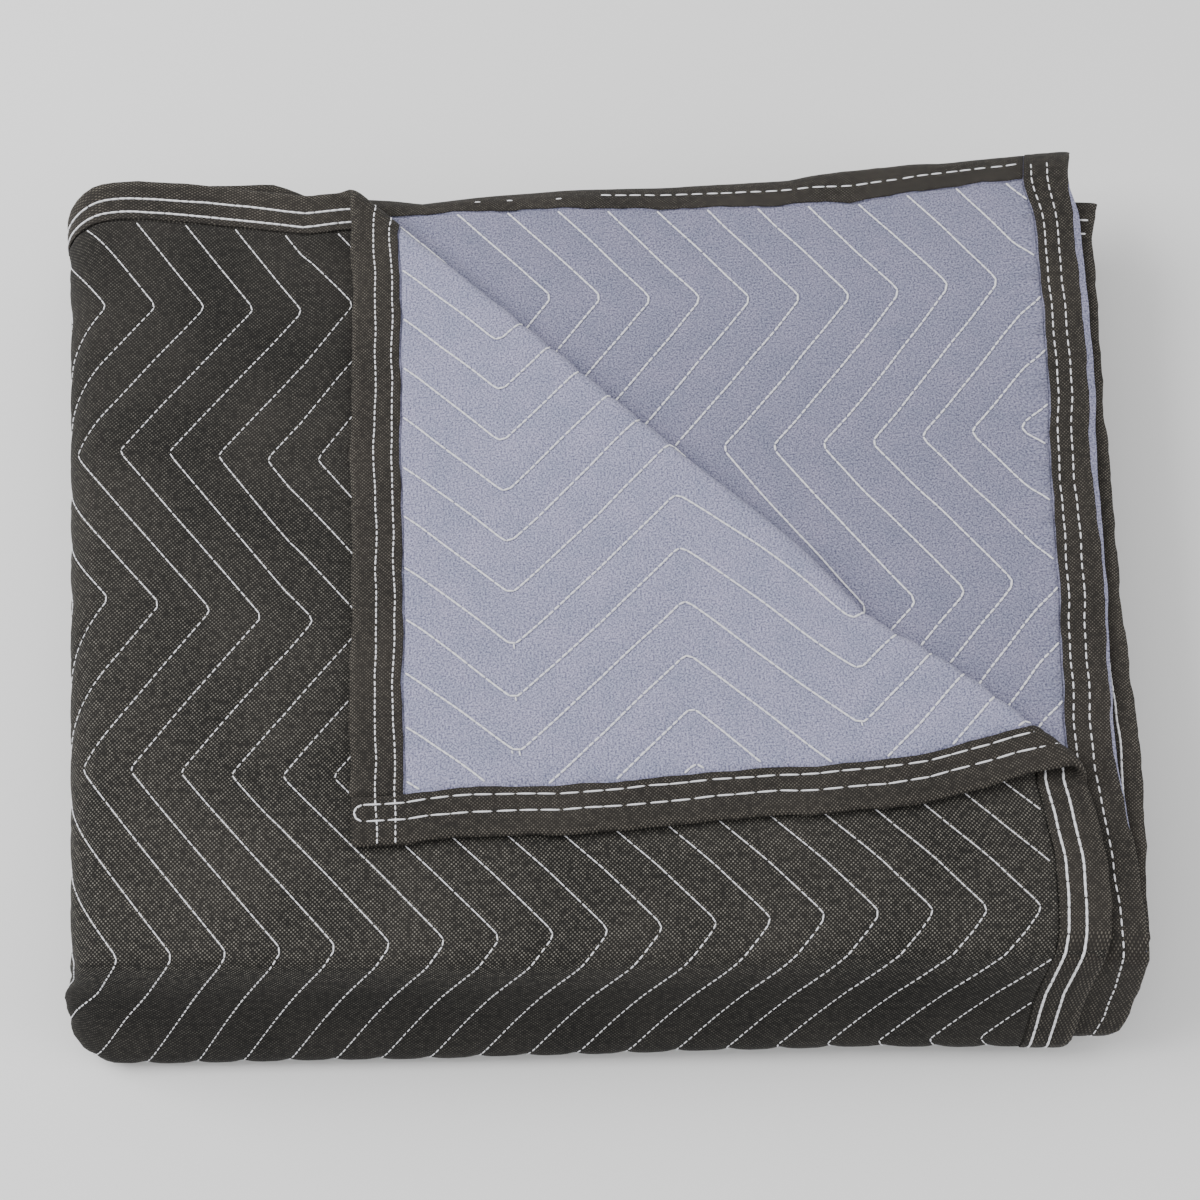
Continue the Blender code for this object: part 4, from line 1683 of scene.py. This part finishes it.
@dataclass(frozen=True)
class NeedledFelt(Finish):
    """Needle-punched recycled fibre: blue-grey, soft-edged mottling, with a faint fibre grain."""

    name: str = "needle-punched felt, blue-grey"
    dark: str = "#66677f"
    pale: str = "#bbbcd3"
    cool: tuple[float, float, float, float] = (0.88, 0.9, 0.97, 1.0)
    warm: tuple[float, float, float, float] = (1.1, 1.06, 1.13, 1.0)
    # Waves in a metre of cloth: tufts about 1 mm across, fibres finer than that, and clouds of 20 mm.
    tuft: float = 1100.0
    fibre: float = 1000.0
    cloud: float = 55.0
    # The second layer's felt is darkened to this share, as painted shade.
    second_layer_painted_shade: float = 0.76
    roughness: float = 1.0
    bump: float = 0.7

    def shade(self, tree: bpy.types.NodeTree) -> bpy.types.NodeSocket:
        """Mottles the felt with tufts, and with clouds that are bluer or pinker, as in mixed waste.

        Args:
            tree: The material's nodes.

        Returns:
            The shader.
        """
        cloth = put(tree, "UVMap", {})
        tufted = {"Vector": cloth, "Scale": self.tuft, "Detail": 3.0, "Roughness": 0.6}
        tufts = put(tree, "TexNoise", tufted)
        cloudy = {"Vector": cloth, "Scale": self.cloud, "Detail": 6.0, "Roughness": 0.72}
        clouds = put(tree, "TexNoise", cloudy)
        fine = {"Vector": cloth, "Scale": self.fibre, "Detail": 3.0, "Roughness": 0.8, "Distortion": 1.5}
        fibres = put(tree, "TexNoise", fine)
        grain = put(tree, "MapRange", {"Value": tufts, 1: 0.36, 2: 0.64, 3: 0.0, 4: 1.0})
        mottle = {"Factor": grain, MIX_FIRST: linear(self.dark), MIX_SECOND: linear(self.pale)}
        base = put(tree, "Mix", mottle, MIX_RESULT, data_type="RGBA")
        warmth = put(tree, "MapRange", {"Value": clouds, 1: 0.34, 2: 0.66, 3: 0.0, 4: 1.0})
        tones = {"Factor": warmth, MIX_FIRST: self.cool, MIX_SECOND: self.warm}
        tint = put(tree, "Mix", tones, MIX_RESULT, data_type="RGBA")
        toned = put(tree, "VectorMath", {0: base, 1: tint}, operation="MULTIPLY")
        # The second layer, which is the cloth beyond the pad's middle, is darkened as painted shade: its
        # fibres lie away from the light there, and towards it on the turned corner.
        place = put(tree, "SeparateXYZ", {0: cloth}, "X")
        dull = put(tree, "MapRange", {"Value": place, 1: 0.9, 2: 1.1, 3: 1.0, 4: self.second_layer_painted_shade})
        shaded = put(tree, "VectorMath", {0: toned, "Scale": dull}, operation="SCALE")
        height = put(tree, "Math", {0: fibres, 1: 0.5, 2: tufts}, operation="MULTIPLY_ADD")
        surface = {
            "Base Color": shaded,
            "Roughness": self.roughness,
            "IOR": 1.5,
            "Specular IOR Level": 0.15,
            "Sheen Weight": 0.15,
            "Sheen Roughness": 0.6,
            "Normal": put(tree, "Bump", {"Height": height, "Strength": self.bump, "Distance": 0.0008}),
        }
        return put(tree, "BsdfPrincipled", surface)


@dataclass(frozen=True)
class SewingThread(Finish):
    """Bonded polyester sewing thread: off-white, with a soft shine and no pattern of its own."""

    name: str = "polyester sewing thread, off-white"
    colour: str = "#f6f6fa"
    roughness: float = 0.6

    def shade(self, tree: bpy.types.NodeTree) -> bpy.types.NodeSocket:
        """Gives the thread its colour and shine."""
        surface = {"Base Color": linear(self.colour), "Roughness": self.roughness, "IOR": 1.5}
        return put(tree, "BsdfPrincipled", surface)


@dataclass(frozen=True)
class FloorPaper(Finish):
    """The studio's paper: white and matt, with no texture that would show."""

    name: str = "matt white paper"
    white: float = 0.93
    roughness: float = 0.9

    def shade(self, tree: bpy.types.NodeTree) -> bpy.types.NodeSocket:
        """Gives the paper its white."""
        surface = {"Base Color": (self.white,) * 3 + (1.0,), "Roughness": self.roughness}
        return put(tree, "BsdfPrincipled", surface)


@dataclass(frozen=True)
class Studio:
    """A white floor and soft light from above, and the camera above the pad's front edge."""

    eye: tuple[float, float, float] = (0.0100, -0.4953, 1.1419)
    target: tuple[float, float, float] = (0.0100, -0.0235, 0.0822)
    lens: float = 72.0
    horizon: float = 0.18
    zenith: float = 0.93
    lamp: float = 43.0
    fill: float = 11.0

    def build(self) -> None:
        """Sets the studio up."""
        bm = bmesh.new()
        bmesh.ops.create_grid(bm, x_segments=1, y_segments=1, size=6.0)
        mesh = bpy.data.meshes.new("floor")
        bm.to_mesh(mesh)
        bm.free()
        mesh.materials.append(FloorPaper().build())
        placed("floor", mesh)
        self.light_sky()
        # The main softbox stands at the left, and a weaker one low at the right lights the sides there.
        self.softbox("softbox", (-1.5, 0.3, 1.5), 1.4, self.lamp)
        self.softbox("fill", (1.7, -0.5, 0.8), 1.0, self.fill)
        camera = bpy.data.cameras.new("camera")
        camera.lens = self.lens
        camera.sensor_width = 36.0
        holder = placed("camera", camera)
        holder.location = self.eye
        holder.rotation_euler = looking(self.eye, self.target)
        bpy.context.scene.camera = holder

    def light_sky(self) -> None:
        """Lights the studio all round, mostly from overhead, as from a wide soft canopy."""
        world = bpy.data.worlds.new("studio")
        world.use_nodes = True
        tree = world.node_tree
        tree.nodes.clear()
        height = put(tree, "SeparateXYZ", {0: put(tree, "TexCoord", {})}, "Z")
        above = put(tree, "Math", {0: height, 1: 0.0}, operation="MAXIMUM")
        glow = {0: above, 1: self.zenith, 2: self.horizon}
        strength = put(tree, "Math", glow, operation="MULTIPLY_ADD")
        light = put(tree, "Background", {"Color": (1.0, 1.0, 1.0, 1.0), "Strength": strength})
        put(tree, "OutputWorld", {"Surface": light})
        bpy.context.scene.world = world

    @staticmethod
    def softbox(name: str, place: tuple[float, float, float], size: float, energy: float) -> None:
        """Adds a square lamp that faces the pad.

        Args:
            name: The lamp's name.
            place: Where it stands, in metres.
            size: Its width.
            energy: Its power, in watts.
        """
        lamp = bpy.data.lights.new(name, "AREA")
        lamp.size = size
        lamp.energy = energy
        holder = placed(name, lamp)
        holder.location = place
        holder.rotation_euler = looking(place, (0, 0, 0))


def placed(name: str, data: bpy.types.ID) -> bpy.types.Object:
    """Adds an object that holds a mesh, a lamp or a camera to the scene."""
    holder = bpy.data.objects.new(name, data)
    bpy.context.scene.collection.objects.link(holder)
    return holder


def looking(eye: tuple[float, float, float], target: tuple[float, float, float]) -> Euler:
    """How a lamp or a camera is turned to look from one place at another."""
    return (Vector(target) - Vector(eye)).to_track_quat("-Z", "Y").to_euler()


def main() -> None:
    """Builds every piece, and hides the part's own pieces that they replace."""
    logging.basicConfig(level=logging.INFO, format="%(name)s: %(message)s")
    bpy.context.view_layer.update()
    Studio().build()
    panels = QuiltedPanels(WovenPolyester().build(), NeedledFelt().build())
    woven = panels.woven_panel()
    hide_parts("face_panel")
    felt = panels.felt_panel()
    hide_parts("back_panel")
    tapes = BindingTapes(WovenTape().build())
    for hem in Hem:
        tape = tapes.tape(hem)
        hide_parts(hem.value)
    thread = ThreadWork(SewingThread().build())
    sewing = [*thread.quilting(), *thread.tape_rows()]


if __name__ == "__main__":
    main()
